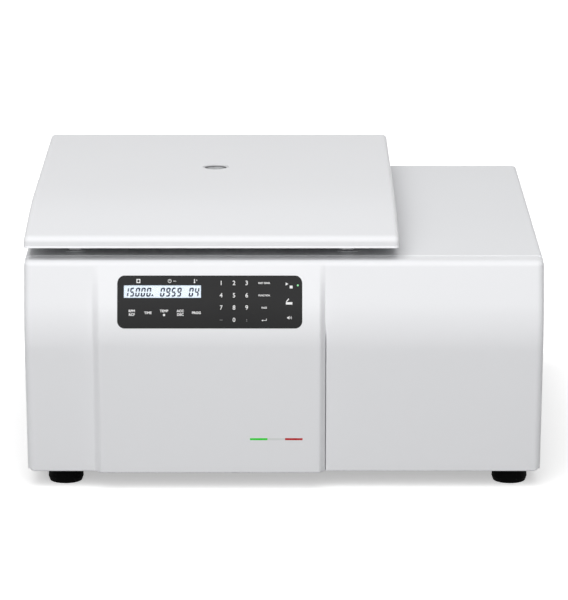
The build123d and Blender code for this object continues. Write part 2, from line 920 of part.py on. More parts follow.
def lid_liner():
    """Liner sheet that closes the lid, with the round plug that covers the chamber."""
    edge = lid_wall + liner_edge_gap
    plan = RectangleRounded(lid_width - 2 * edge, lid_length - 2 * edge, lid_corner - lid_wall)
    middle = Pos(left_x + lid_width / 2, lid_back - lid_length / 2, liner_z)
    sheet_part = extrude(middle * plan, liner_sheet)
    pan = drum(chamber_x, chamber_y, plug_z, liner_z + liner_sheet, plug_radius)
    pan = fillet(pan.edges().sort_by(Axis.Z)[0], plug_corner)
    liner = sheet_part + pan
    hollow = drum(chamber_x, chamber_y, plug_z + liner_sheet, liner_z + overrun, plug_radius - liner_sheet)
    liner -= fillet(hollow.edges().sort_by(Axis.Z)[0], plug_corner - liner_sheet)
    for x, y in lid_screw_places():
        liner -= drum(x, y, liner_z - overrun, liner_z + overrun, lid_screw_radius + fit_gap)
    return liner - viewport_hole()


def lid_insulation():
    """Foam disc in the plug's pan."""
    low = plug_z + liner_sheet
    foam = drum(chamber_x, chamber_y, low, low + lid_foam_height, plug_radius - plug_corner - fit_gap)
    return foam - viewport_hole()


def lid_armour_plate():
    """Steel plate over the foam that would hold rotor fragments."""
    low = plug_z + liner_sheet + lid_foam_height
    plate = drum(chamber_x, chamber_y, low, low + armour_thickness, plug_radius - plug_corner - fit_gap)
    return fillet(plate.edges(), armour_thickness / 6) - viewport_hole()


def viewport_sleeve():
    """Sleeve through the lid, with a ledge for the glass at each end."""
    outer = viewport_radius + viewport_wall
    low, top = viewport_span()
    sleeve = ring(chamber_x, chamber_y, low, top, outer, viewport_radius - glass_ledge)
    for z0, z1 in viewport_seats():
        sleeve -= drum(chamber_x, chamber_y, z0, z1, viewport_radius)
    return sleeve


def viewport_span():
    """Bottom and top of the sleeve, a little inside the plug and the cover."""
    return plug_z + fit_gap, lid_top - fit_gap


def viewport_seats():
    """Counterbores for the upper and the lower glass."""
    low, top = viewport_span()
    return [(top - glass_recess - glass_thickness, top + 1), (low - 1, low + glass_recess + glass_thickness)]


def viewport_glass():
    seats = viewport_seats()
    radius = viewport_radius - film_edge
    upper = drum(chamber_x, chamber_y, seats[0][0], seats[0][0] + glass_thickness, radius)
    lower = drum(chamber_x, chamber_y, seats[1][1] - glass_thickness, seats[1][1], radius)
    return group([upper, lower])


def lid_screws():
    screws = []
    for x, y in lid_screw_places():
        head = drum(x, y, liner_z - lid_screw_head_height, liner_z, lid_screw_head)
        shank = drum(x, y, liner_z, liner_z + lid_screw_length, lid_screw_radius)
        screws.append(head + shank)
    return group(screws)


def lid_strikers():
    """Two tongues under the lid, each with a window for its hook."""
    tongues = []
    for x in lock_places:
        pad = obround(x, lock_y, liner_z - tongue_pad, liner_z, slot_width + tongue_pad_margin,
                      slot_depth + tongue_pad_margin)
        tongue = slab(x - tongue_width / 2, x + tongue_width / 2, lock_y - tongue_thickness / 2,
                      lock_y + tongue_thickness / 2, tongue_tip, liner_z - tongue_pad / 2)
        tip = tongue.edges().filter_by(Axis.Y).group_by(Axis.Z)[0]
        tongue = chamfer(tip, tongue_chamfer)
        catch = slab(x - catch_width / 2, x + catch_width / 2, lock_y - overrun, lock_y + overrun,
                     catch_z - catch_height / 2, catch_z + catch_height / 2)
        tongues.append(pad + (tongue - catch))
    return group(tongues)


# Lid hinge


def hinge_spans(x):
    """Chassis knuckles outside, lid knuckles inside them, the spring in the middle."""
    half = spring_length / 2
    gap = fit_gap
    near = half + gap
    lid_spans = [(x - near - knuckle_length, x - near), (x + near, x + near + knuckle_length)]
    outer = half + 2 * gap + knuckle_length
    chassis_spans = [(x - outer - knuckle_length, x - outer), (x + outer, x + outer + knuckle_length)]
    return chassis_spans, lid_spans


def hinge_brackets():
    """Brackets on the deck that hold the hinge pins."""
    brackets = []
    for x in hinge_places:
        chassis_spans, lid_spans = hinge_spans(x)
        for x0, x1 in chassis_spans:
            ear = rod_x(x0, x1, hinge_y, hinge_z, knuckle_radius)
            web = slab(x0, x1, hinge_y - knuckle_radius, hinge_y + knuckle_radius, deck_height, hinge_z)
            bore = rod_x(x0 - 1, x1 + 1, hinge_y, hinge_z, hinge_pin_radius + running_gap)
            brackets.append(ear + web - bore)
    return group(brackets)


def hinge_pins():
    pins = []
    for x in hinge_places:
        chassis_spans, lid_spans = hinge_spans(x)
        pins.append(rod_x(chassis_spans[0][0], chassis_spans[1][1], hinge_y, hinge_z, hinge_pin_radius))
    return group(pins)


def hinge_springs():
    """Torsion springs round the pins, as plain sleeves of their outer size."""
    springs = []
    inner = hinge_pin_radius + fit_gap
    for x in hinge_places:
        x0, x1 = x - spring_length / 2, x + spring_length / 2
        sleeve = rod_x(x0, x1, hinge_y, hinge_z, inner + spring_wire)
        springs.append(sleeve - rod_x(x0 - 1, x1 + 1, hinge_y, hinge_z, inner))
    return group(springs)


def lid_hinge_leaves():
    """Leaves under the liner, each with two knuckles on the pin."""
    leaves = []
    for x in hinge_places:
        chassis_spans, lid_spans = hinge_spans(x)
        for x0, x1 in lid_spans:
            knuckle = rod_x(x0, x1, hinge_y, hinge_z, knuckle_radius)
            plate = slab(x0, x1, hinge_y - leaf_length, hinge_y, liner_z - leaf_thickness, liner_z)
            leaf = knuckle + plate
            leaves.append(leaf - rod_x(x0 - 1, x1 + 1, hinge_y, hinge_z, hinge_pin_radius + running_gap))
    return group(leaves)


# Chamber


def chamber_bowl():
    """Pressed bowl with a rim under the deck and a hole for the shaft."""
    outer = drum(chamber_x, chamber_y, bowl_floor - bowl_sheet, bowl_rim_z + bowl_sheet, gasket_inner)
    outer = fillet(outer.edges().sort_by(Axis.Z)[0], bowl_corner)
    hollow = drum(chamber_x, chamber_y, bowl_floor, bowl_rim_z + overrun, bowl_radius)
    hollow = fillet(hollow.edges().sort_by(Axis.Z)[0], bowl_corner - bowl_sheet)
    rim = drum(chamber_x, chamber_y, bowl_rim_z, bowl_rim_z + bowl_sheet, bowl_radius + bowl_rim)
    bowl = outer + rim - hollow
    bowl -= drum(chamber_x, chamber_y, bowl_floor - overrun, bowl_floor + overrun, shaft_hole_radius)
    wall = chamber_y + bowl_radius
    return bowl - rod_y(chamber_x, wall - overrun, wall + overrun, probe_height(), probe_radius + fit_gap)


def probe_height():
    """The probe sits just above the cooling tube."""
    return bowl_floor + coil_high + 2 * probe_radius


def chamber_gasket():
    """Rubber ring on the bowl's rim, standing above the deck, with a rounded lip."""
    seal = ring(chamber_x, chamber_y, bowl_rim_z + bowl_sheet, gasket_top, gasket_outer, gasket_inner)
    return fillet(seal.edges().group_by(Axis.Z)[-1], gasket_edge)


def guard_top():
    """Top of the guard ring, under the deck's flange."""
    return bowl_rim_z - guard_top_gap


def chamber_insulation():
    """Foam between the bowl and the guard ring, and under the bowl."""
    top = bowl_rim_z - fit_gap
    low = bowl_floor - bowl_sheet - foam_floor
    foam = drum(chamber_x, chamber_y, low, guard_top(), guard_radius - fit_gap)
    foam += drum(chamber_x, chamber_y, guard_top(), top, guard_radius - foam_collar)
    foam -= drum(chamber_x, chamber_y, bowl_floor - bowl_sheet - fit_gap, top + overrun,
                 bowl_radius + bowl_sheet + fit_gap)
    band = bowl_radius + bowl_sheet + 2 * fit_gap + coil_band
    band_low = bowl_floor + coil_low - fit_gap
    foam -= drum(chamber_x, chamber_y, band_low, bowl_floor + coil_high + fit_gap, band)
    foam -= drum(chamber_x, chamber_y, low - overrun, bowl_floor, shaft_hole_radius)
    wall = chamber_y + bowl_radius
    hole = probe_radius + 2 * fit_gap
    return foam - rod_y(chamber_x, wall, wall + probe_length + fit_gap, probe_height(), hole)


def evaporator_coil():
    """The cooling tube round the bowl, as one plain sleeve of its outer size."""
    inner = bowl_radius + bowl_sheet + fit_gap
    return ring(chamber_x, chamber_y, bowl_floor + coil_low, bowl_floor + coil_high, inner + coil_band, inner)


def guard_ring():
    """Steel guard ring that stands on the base tray round the chamber."""
    return ring(chamber_x, chamber_y, tray_top, guard_top(), guard_radius + guard_wall, guard_radius)


def temperature_probe():
    """Probe through the bowl's back wall, with a collar outside it."""
    wall = chamber_y + bowl_radius
    tip = rod_y(chamber_x, wall - probe_reach, wall + probe_length, probe_height(), probe_radius)
    collar_y = wall + bowl_sheet + fit_gap
    return tip + rod_y(chamber_x, collar_y, collar_y + probe_collar, probe_height(), probe_radius + fit_gap)


def shaft_seal():
    """Rubber collar on the bowl's floor round the shaft."""
    low = bowl_floor
    collar = drum(chamber_x, chamber_y, low, low + seal_height, shaft_hole_radius + seal_lap)
    collar = chamfer(collar.edges().sort_by(Axis.Z)[-1], seal_height / 2)
    return collar - drum(chamber_x, chamber_y, low - overrun, low + seal_height + overrun, shaft_radius + 1)


# Drive


def motor_mount():
    """Plate on the dampers that the motor hangs from."""
    plate = drum(chamber_x, chamber_y, motor_top, motor_top + mount_thickness, mount_radius)
    return plate - drum(chamber_x, chamber_y, 0, deck_height, shaft_radius + mount_thickness)


def damper_spots():
    """Places of the dampers, evenly round the shaft."""
    spots = []
    for step in range(damper_count):
        angle = math.radians(360 / damper_count * (step + 0.5))
        x = chamber_x + damper_circle * math.cos(angle)
        spots.append((x, chamber_y + damper_circle * math.sin(angle)))
    return spots


def motor_posts():
    return group([drum(x, y, tray_top, motor_top - damper_height, post_radius) for x, y in damper_spots()])


def motor_dampers():
    dampers = []
    for x, y in damper_spots():
        damper = drum(x, y, motor_top - damper_height, motor_top, damper_radius)
        middle = motor_top - damper_height / 2
        waist = ring(x, y, middle - damper_height / 6, middle + damper_height / 6,
                     damper_radius + overrun, damper_radius - damper_waist)
        dampers.append(damper - waist)
    return group(dampers)


def motor_housing():
    """Motor can with cooling ribs and a bore for its shaft."""
    can = drum(chamber_x, chamber_y, motor_z, motor_top, motor_radius)
    for step in range(motor_ribs):
        low = motor_z + motor_rib_pitch * (step + 1)
        can -= ring(chamber_x, chamber_y, low, low + motor_rib_pitch / 2,
                    motor_radius + overrun, motor_radius - motor_rib_depth)
    bore = shaft_radius + running_gap
    return can - drum(chamber_x, chamber_y, motor_z + motor_floor, motor_top + overrun, bore)


def drive_shaft():
    shaft = drum(chamber_x, chamber_y, motor_z + motor_floor + fit_gap, shaft_top, shaft_radius)
    shaft = chamfer(shaft.edges().sort_by(Axis.Z)[-1], shaft_radius / 8)
    shoulder = drum(chamber_x, chamber_y, rotor_z - shoulder_height, rotor_z, shaft_shoulder)
    hole = knob_bolt_radius + running_gap
    return shaft + shoulder - drum(chamber_x, chamber_y, shaft_top - thread_depth, shaft_top + overrun, hole)


def rotor():
    """Fixed-angle rotor: a cone with tilted tube pockets round a sunk hub."""
    bevel = rotor_chamfer / 2
    outline = Polyline((0, 0), (rotor_base_radius - bevel, 0), (rotor_base_radius, rotor_chamfer),
                       (rotor_base_radius, rotor_skirt), (rotor_top_radius, rotor_height - bevel),
                       (rotor_top_radius - bevel, rotor_height), (hub_radius + hub_flare, rotor_height),
                       (hub_radius, rotor_height - hub_sink), (0, rotor_height - hub_sink), (0, 0))
    body = Pos(chamber_x, chamber_y, rotor_z) * revolve(Plane.XZ * make_face(outline), Axis.Z)
    for step in range(pocket_count):
        body -= pocket_bore(step)
    return body - drum(chamber_x, chamber_y, rotor_z - overrun, rotor_top, shaft_radius + running_gap)


def pocket_bore(step):
    """One tube pocket: it leans outwards as it goes down and has a round end."""
    turn = Rot(0, 0, 360 / pocket_count * step)
    mouth = Pos(chamber_x, chamber_y, rotor_top) * turn * Pos(pocket_circle, 0, 0) * Rot(0, -pocket_tilt, 0)
    above = 2 * pocket_radius
    straight = pocket_depth - pocket_radius
    bore = mouth * Pos(0, 0, (above - straight) / 2) * Cylinder(pocket_radius, straight + above)
    return bore + mouth * Pos(0, 0, -straight) * Sphere(pocket_radius)


def rotor_knob():
    """Hand knob that ties the rotor down, with its bolt in the shaft."""
    seat = rotor_top - hub_sink
    body = drum(chamber_x, chamber_y, seat, seat + knob_height, knob_radius)
    for step in range(knob_grip_count):
        angle = math.radians(360 / knob_grip_count * step)
        reach = knob_radius + knob_grip_radius / 2
        body -= drum(chamber_x + reach * math.cos(angle), chamber_y + reach * math.sin(angle),
                     seat - overrun, seat + knob_height + overrun, knob_grip_radius)
    body = chamfer(body.edges().filter_by(GeomType.CIRCLE).group_by(Axis.Z)[-1], knob_height / 14)
    bolt = drum(chamber_x, chamber_y, shaft_top - thread_depth + bolt_end_gap, seat + 1, knob_bolt_radius)
    return body + bolt


# Lid lock


def latch_bezels():
    """Slot liners in the deck."""
    bezels = []
    margin = 2 * (bezel_wall + bezel_flange)
    for x in lock_places:
        flange = obround(x, lock_y, deck_height, deck_height + bezel_height, slot_width + margin,
                         slot_depth + margin)
        neck = obround(x, lock_y, deck_height - 3 * sheet, deck_height, slot_width + 2 * bezel_wall,
                       slot_depth + 2 * bezel_wall)
        bezels.append(flange + neck - obround(x, lock_y, 0, 2 * deck_height, slot_width, slot_depth))
    return group(bezels)


def latch_shaft():
    """One shaft that turns both hooks. At rest the hooks stand back from the tongues."""
    x0 = lock_places[0] - lock_shaft_overrun
    x1 = lock_places[1] + lock_shaft_overrun + bracket_sheet
    parts = [rod_x(x0, x1, lock_shaft_y, lock_shaft_z, lock_shaft_radius)]
    outer = lock_arm + hook_band / 2
    inner = lock_arm - hook_band / 2
    for x in lock_places:
        nose = sector(inner, outer, *hook_nose_angles)
        arm = sector(lock_shaft_radius / 2, outer, *hook_arm_angles)
        flat = Plane.YZ.offset(x - hook_width / 2) * Pos(lock_shaft_y, lock_shaft_z) * (nose + arm)
        hub = rod_x(x - hook_width, x + hook_width, lock_shaft_y, lock_shaft_z, lock_shaft_radius + hook_hub)
        parts.extend([hub, extrude(flat, hook_width)])
    return join(parts)


def sector(inner, outer, start, end):
    """Part of a flat ring between two angles in degrees."""
    def point(radius, angle):
        turn = math.radians(angle)
        return (radius * math.cos(turn), radius * math.sin(turn))
    middle = (start + end) / 2
    edges = [
        Line(point(inner, start), point(outer, start)),
        ThreePointArc(point(outer, start), point(outer, middle), point(outer, end)),
        Line(point(outer, end), point(inner, end)),
        ThreePointArc(point(inner, end), point(inner, middle), point(inner, start)),
    ]
    return make_face(edges)


def latch_brackets():
    """Hangers under the deck that carry the lock shaft."""
    brackets = []
    for x in lock_places:
        brackets.append(latch_hanger(x - hanger_step - bracket_sheet))
    brackets.append(latch_hanger(lock_places[1] + lock_shaft_overrun))
    return group(brackets)


def latch_hanger(x0):
    """One hanger plate with the shaft's bore."""
    plate = slab(x0, x0 + bracket_sheet, lock_shaft_y - bracket_width / 2, lock_shaft_y + bracket_width / 2,
                 lock_shaft_z - 2 * lock_shaft_radius, deck_height - sheet)
    return plate - rod_x(x0 - overrun, x0 + bracket_sheet + overrun, lock_shaft_y, lock_shaft_z,
                         lock_shaft_radius + running_gap)


def latch_motor():
    """Gear motor on the last hanger, in line with the shaft."""
    x0 = lock_places[1] + lock_shaft_overrun + bracket_sheet
    body = rod_x(x0, x0 + lock_motor_length, lock_shaft_y, lock_shaft_z, lock_motor_radius)
    return fillet(body.edges().sort_by(Axis.X)[-1], lock_motor_radius / 5)


# Cooling


def compressor():
    """Hermetic compressor can on a foot plate."""
    low = tray_top + grommet_height
    can = drum(compressor_x, compressor_y, low, low + compressor_height, compressor_radius)
    can = fillet(can.edges().group_by(Axis.Z)[-1], compressor_dome)
    seam_rise, seam_height, seam_reach = compressor_seam
    seam = drum(compressor_x, compressor_y, low + seam_rise, low + seam_rise + seam_height,
                compressor_radius + seam_reach)
    span = compressor_radius
    plate = slab(compressor_x - span, compressor_x + span, compressor_y - span, compressor_y + span,
                 low, low + compressor_foot)
    return can + seam + plate


def compressor_grommets():
    """Rubber mounts under the compressor's foot plate."""
    reach = compressor_radius - grommet_radius - grommet_margin
    grommets = []
    for dx in (-reach, reach):
        for dy in (-reach, reach):
            grommets.append(drum(compressor_x + dx, compressor_y + dy, tray_top, tray_top + grommet_height,
                                 grommet_radius))
    return group(grommets)


def condenser():
    """Finned heat exchanger on two side plates that stand on the tray."""
    z1 = condenser_z0 + condenser_height
    plates = []
    for y in (condenser_y0, condenser_y1 - condenser_plate):
        plates.append(slab(condenser_inner, condenser_face, y, y + condenser_plate, tray_top, z1))
    rows = int(condenser_height // (2 * condenser_fin_pitch))
    for step in range(rows):
        z = condenser_z0 + condenser_fin_pitch + 2 * condenser_fin_pitch * step
        for share in condenser_rows:
            x = condenser_inner + condenser_depth * share
            plates.append(rod_y(x, condenser_y0, condenser_y1, z, condenser_tube))
    fins = int((condenser_width - condenser_fin_pitch) // condenser_fin_pitch)
    for step in range(fins):
        y = condenser_y0 + condenser_fin_pitch * (step + 0.6)
        plates.append(slab(condenser_inner, condenser_face, y, y + condenser_fin, condenser_z0, z1))
    return join(plates)


def condenser_shroud():
    """Box behind the condenser that guides air to the fan, with a cross bar for its motor."""
    x1 = condenser_inner
    x0 = x1 - shroud_depth
    z1 = condenser_z0 + condenser_height
    box = slab(x0, x1, condenser_y0, condenser_y1, condenser_z0, z1)
    box -= slab(x0 + shroud_sheet, x1 + overrun, condenser_y0 + shroud_sheet, condenser_y1 - shroud_sheet,
                condenser_z0 + shroud_sheet, z1 - shroud_sheet)
    box -= rod_x(x0 - overrun, x0 + shroud_sheet + overrun, fan_y, fan_z, fan_radius + fan_gap)
    half = fan_motor_radius
    bar = slab(fan_motor_face, x0, fan_y - half, fan_y + half, condenser_z0, z1)
    bar -= slab(fan_motor_face + fan_bar_wall, x0 + overrun, fan_y - half - overrun, fan_y + half + overrun,
                condenser_z0 + fan_bar_foot, z1 - fan_bar_foot)
    bar -= rod_x(fan_motor_face - overrun, x0, fan_y, fan_z, fan_shaft_radius + fan_bar_wall)
    return box + bar


def fan_motor():
    """Fan motor behind the cross bar, with a bore for the fan's shaft."""
    face = fan_motor_face
    body = rod_x(face - fan_motor_length, face, fan_y, fan_z, fan_motor_radius)
    body = fillet(body.edges().sort_by(Axis.X)[0], fan_motor_radius / 5)
    return body - rod_x(face - fan_motor_bore, face + overrun, fan_y, fan_z, fan_shaft_radius + running_gap)


def fan_rotor():
    """Fan hub with tilted blades on the motor's shaft."""
    start = fan_motor_face - fan_motor_bore + fit_gap
    x0 = condenser_inner - shroud_depth + fan_setback
    parts = [rod_x(start, x0 + fan_depth / 2, fan_y, fan_z, fan_shaft_radius),
             rod_x(x0, x0 + fan_depth, fan_y, fan_z, fan_hub_radius)]
    root = fan_hub_radius - fan_setback
    for step in range(fan_blades):
        blade = Pos(0, 0, (fan_radius + root) / 2) * Rot(0, 0, fan_blade_pitch)
        blade = blade * Box(fan_depth * 0.9, fan_blade, fan_radius - root)
        parts.append(Pos(x0 + fan_depth / 2, fan_y, fan_z) * Rot(360 / fan_blades * step, 0, 0) * blade)
    return join(parts)


def refrigerant_pipes():
    """Hot gas line from the compressor to the condenser, and the liquid line with its drier."""
    top = tray_top + grommet_height + compressor_height
    high = top + pipe_rise
    cold_x, hot_x = [condenser_inner + condenser_depth * share for share in condenser_rows]
    hot = [
        (compressor_x, compressor_y, top),
        (compressor_x, compressor_y, high),
        (compressor_x, pipe_y, high),
        (hot_x, pipe_y, high),
        (hot_x, pipe_y, high - pipe_drop),
        (hot_x, condenser_y0, high - pipe_drop),
    ]
    low = condenser_z0 + 2 * condenser_fin_pitch
    drier_x = cold_x - drier_step
    drier_z = low + drier_lift
    cold = [
        (cold_x, condenser_y0, low),
        (cold_x, pipe_y, low),
        (drier_x, pipe_y, low),
        (drier_x, pipe_y, drier_z),
    ]
    drier = drum(drier_x, pipe_y, drier_z, drier_z + drier_length, drier_radius)
    return group([pipe(hot), pipe(cold) + fillet(drier.edges(), drier_corner)])


def pipe(points):
    """A copper pipe along straight runs joined by round bends."""
    path = FilletPolyline(*points, radius=pipe_bend)
    start = Plane(origin=points[0], z_dir=Vector(*points[1]) - Vector(*points[0]))
    return sweep(start * Circle(pipe_radius), path=path)


# Electrics


def drive_inverter():
    """Finned heat sink of the motor drive, on the base tray."""
    wide, deep, high = inverter_size
    x0 = chamber_x - wide / 2
    y0 = seam_y + sheet + tray_sheet + inverter_gap
    block = slab(x0, x0 + wide, y0, y0 + deep, tray_top, tray_top + high)
    pitch = wide / inverter_fins
    for step in range(inverter_fins - 1):
        x = x0 + pitch * (step + 1)
        block -= slab(x - (pitch - inverter_fin) / 2, x + (pitch - inverter_fin) / 2, y0 + inverter_wall,
                      y0 + deep + overrun, tray_top + inverter_floor, tray_top + high + overrun)
    return block


def power_board():
    """Mains circuit board on four posts on the base tray."""
    long, deep = board_size
    x0 = crease_x + board_from_crease
    y0 = seam_y + sheet + tray_sheet + board_gap
    z = tray_top + board_post
    board = slab(x0, x0 + long, y0, y0 + deep, z, z + board_thickness)
    for dx in (board_post_inset, long - board_post_inset):
        for dy in (board_post_inset, deep - board_post_inset):
            board += drum(x0 + dx, y0 + dy, tray_top, z, board_post_radius)
    top = z + board_thickness
    dx, dy, wide, thick, high = transformer
    board += slab(x0 + dx, x0 + dx + wide, y0 + dy, y0 + dy + thick, top, top + high)
    for dx in capacitor_places:
        board += drum(x0 + dx, y0 + deep / 2, top, top + capacitor_height, capacitor_radius)
    return board


def mains_inlet():
    """Mains inlet: a deep recess with three flat pins."""
    wide, high, deep = inlet_recess
    y1 = rear_face + flange_thickness
    body = slab(inlet_x - wide / 2 - inlet_wall, inlet_x + wide / 2 + inlet_wall, pin_plane - inlet_back, y1,
                inlet_z - high / 2 - inlet_wall, inlet_z + high / 2 + inlet_wall)
    reach = inlet_wall + inlet_flange
    flange = slab(inlet_x - wide / 2 - reach, inlet_x + wide / 2 + reach, rear_face, y1,
                  inlet_z - high / 2 - reach, inlet_z + high / 2 + reach)
    flange = fillet(flange.edges().filter_by(Axis.Y), inlet_corner)
    recess = slab(inlet_x - wide / 2, inlet_x + wide / 2, pin_plane, y1 + overrun,
                  inlet_z - high / 2, inlet_z + high / 2)
    recess = chamfer(recess.edges().filter_by(Axis.Y).group_by(Axis.Z)[-1], inlet_corner)
    inlet = body + flange - recess
    for step in (-1, 0, 1):
        x = inlet_x + step * inlet_pin_pitch
        z = inlet_z + (earth_pin_offset if step == 0 else -earth_pin_offset)
        inlet += slab(x - inlet_pin[0] / 2, x + inlet_pin[0] / 2, pin_plane - 1, pin_plane + inlet_pin[2],
                      z - inlet_pin[1] / 2, z + inlet_pin[1] / 2)
    return inlet


def switch_frame():
    """Frame of the mains switch in the rear panel."""
    half_x, half_z = switch_half_x, switch_half_height
    y0 = rear_face - switch_body_depth
    y1 = rear_face + flange_thickness
    body = slab(switch_x - half_x - switch_wall, switch_x + half_x + switch_wall, y0, y1,
                inlet_z - half_z - switch_wall, inlet_z + half_z + switch_wall)
    flange = slab(switch_x - half_x - switch_flange, switch_x + half_x + switch_flange, rear_face, y1,
                  inlet_z - half_z - switch_flange, inlet_z + half_z + switch_flange)
    flange = fillet(flange.edges().filter_by(Axis.Y), inlet_corner / 2)
    frame = body + flange
    frame -= slab(switch_x - half_x, switch_x + half_x, y0 + switch_wall, y1 + overrun,
                  inlet_z - half_z, inlet_z + half_z)
    pin_half = half_x + rocker_pin_length + fit_gap
    return frame - rod_x(switch_x - pin_half, switch_x + pin_half, rear_face - rocker_pivot_depth, inlet_z,
                         rocker_pin_radius + running_gap)


def power_rocker():
    """Rocker with its upper end pressed in. It pivots on two short pins in its frame."""
    half = rocker_half_height
    back, back_half = rocker_back
    points = [(-back, -back_half), (rocker_reach, -half), (rocker_reach - rocker_dip, 0),
              (rocker_reach, half), (-back, back_half), (-back, -back_half)]
    face = make_face(Polyline(*points))
    rocker = extrude(Plane.YZ.offset(-rocker_width / 2) * face, rocker_width)
    pin_half = switch_half_x + rocker_pin_length
    pin = rod_x(-pin_half, pin_half, 0, 0, rocker_pin_radius)
    pivot = Pos(switch_x, rear_face - rocker_pivot_depth, inlet_z)
    return pivot * Rot(rocker_tilt, 0, 0) * (rocker + pin)


os.makedirs("parts", exist_ok=True)
nodes = {
    "base_plate": base_plate,
    "foot_screws": foot_screws,
    "top_deck": top_deck,
    "side_panel_left": lambda: side_panel(-1),
    "side_panel_right": side_panel_right,
    "rear_panel": rear_panel,
    "housing_screws": housing_screws,
    "front_panel": front_panel,
    "keypad_overlay": keypad_overlay,
    "lcd_window": lcd_window,
    "lcd_module": lcd_module,
    "keypad_board": keypad_board,
    "status_led": status_led,
    "lid_cover": lid_cover,
    "lid_liner": lid_liner,
    "lid_insulation": lid_insulation,
    "lid_armour_plate": lid_armour_plate,
    "viewport_sleeve": viewport_sleeve,
    "viewport_glass": viewport_glass,
    "lid_screws": lid_screws,
    "lid_strikers": lid_strikers,
    "hinge_brackets": hinge_brackets,
    "hinge_pins": hinge_pins,
    "hinge_springs": hinge_springs,
    "lid_hinge_leaves": lid_hinge_leaves,
    "chamber_bowl": chamber_bowl,
    "chamber_gasket": chamber_gasket,
    "chamber_insulation": chamber_insulation,
    "evaporator_coil": evaporator_coil,
    "guard_ring": guard_ring,
    "temperature_probe": temperature_probe,
    "shaft_seal": shaft_seal,
    "motor_mount": motor_mount,
    "motor_posts": motor_posts,
    "motor_dampers": motor_dampers,
    "motor_housing": motor_housing,
    "drive_shaft": drive_shaft,
    "rotor": rotor,
    "rotor_knob": rotor_knob,
    "latch_bezels": latch_bezels,
    "latch_shaft": latch_shaft,
    "latch_brackets": latch_brackets,
    "latch_motor": latch_motor,
    "compressor": compressor,
    "compressor_grommets": compressor_grommets,
    "condenser": condenser,
    "condenser_shroud": condenser_shroud,
    "fan_motor": fan_motor,
    "fan_rotor": fan_rotor,
    "refrigerant_pipes": refrigerant_pipes,
    "drive_inverter": drive_inverter,
    "power_board": power_board,
    "mains_inlet": mains_inlet,
    "switch_frame": switch_frame,
    "power_rocker": power_rocker,
}
for foot_name, (foot_x, foot_y) in foot_places.items():
    save(foot_name, foot(foot_x, foot_y))
for node_name, make in nodes.items():
    print(node_name)
    save(node_name, make())
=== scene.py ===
import bpy
import bmesh
import math
from bmesh.types import BMEdge, BMVert
from mathutils import Matrix, Vector


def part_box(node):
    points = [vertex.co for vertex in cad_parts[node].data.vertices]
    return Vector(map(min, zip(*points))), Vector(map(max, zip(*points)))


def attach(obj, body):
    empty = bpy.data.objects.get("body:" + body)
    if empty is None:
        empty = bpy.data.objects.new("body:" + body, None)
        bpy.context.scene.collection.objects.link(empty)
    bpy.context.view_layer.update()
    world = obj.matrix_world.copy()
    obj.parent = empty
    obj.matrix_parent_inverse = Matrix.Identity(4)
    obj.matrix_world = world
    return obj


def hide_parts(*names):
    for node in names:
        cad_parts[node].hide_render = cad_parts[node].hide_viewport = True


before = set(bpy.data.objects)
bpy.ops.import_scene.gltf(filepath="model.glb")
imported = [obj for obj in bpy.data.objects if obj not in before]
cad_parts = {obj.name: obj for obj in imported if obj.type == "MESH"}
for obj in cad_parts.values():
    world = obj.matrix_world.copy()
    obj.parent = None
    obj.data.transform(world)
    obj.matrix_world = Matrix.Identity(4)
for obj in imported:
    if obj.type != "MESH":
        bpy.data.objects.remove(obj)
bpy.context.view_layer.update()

print("frame loaded:", len(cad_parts), "nodes")

# shared mesh helpers


def faceOutward(bm):
    bmesh.ops.recalc_face_normals(bm, faces=bm.faces)


def addFace(bm, corners):
    return bm.faces.new([bm.verts.new(corner) for corner in corners])


def thicken(bm, thickness):
    # the drawn faces stay the outer ones and the wall grows inwards
    bmesh.ops.solidify(bm, geom=bm.faces[:], thickness=thickness)
    faceOutward(bm)


def linkNew(name, data):
    holder = bpy.data.objects.new(name, data)
    bpy.context.collection.objects.link(holder)
    return holder


def newObject(name, bm):
    mesh = bpy.data.meshes.new(name)
    bm.to_mesh(mesh)
    bm.free()
    return linkNew(name, mesh)


def mergeInto(target, bm):
    mesh = bpy.data.meshes.new("part")
    bm.to_mesh(mesh)
    bm.free()
    target.from_mesh(mesh)
    bpy.data.meshes.remove(mesh)


def finishMesh(name, bm, body, slot, sharpAngle=32.0, material=None):
    piece = newObject(name, bm)
    piece.data.shade_smooth()
    piece.data.set_sharp_from_angle(angle=math.radians(sharpAngle))
    piece.data.materials.append(material or finishes[slot])
    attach(piece, body)
    return piece


def evenNormals(piece):
    piece.modifiers.new("even normals", "WEIGHTED_NORMAL").keep_sharp = True


def pick(items, kind):
    return [item for item in items if isinstance(item, kind)]


def sourceOf(vert, known):
    # the vert that an extruded one was drawn out of
    return next(edge.other_vert(vert) for edge in vert.link_edges if edge.other_vert(vert) in known)


def loftRows(bm, rows):
    # the first row is a chain of edges and every later row is that chain extruded and moved
    verts = [bm.verts.new(point) for point in rows[0]]
    chain = [bm.edges.new(pair) for pair in zip(verts, verts[1:])]
    place = {vert: index for index, vert in enumerate(verts)}
    for row in rows[1:]:
        made = bmesh.ops.extrude_edge_only(bm, edges=chain)["geom"]
        chain = pick(made, BMEdge)
        place = {vert: place[sourceOf(vert, place)] for vert in pick(made, BMVert)}
        for vert, index in place.items():
            vert.co = row[index]


def closeEnd(bm, x):
    # one face over the open outline that lies in a plane of constant x
    rim = [edge for edge in bm.edges if len(edge.link_faces) == 1
           and all(abs(vert.co.x - x) < 1e-6 for vert in edge.verts)]
    ends = [vert for vert in {v for edge in rim for v in edge.verts}
            if sum(edge in rim for edge in vert.link_edges) == 1]
    rim.append(bm.edges.new(ends))
    bmesh.ops.contextual_create(bm, geom=rim)


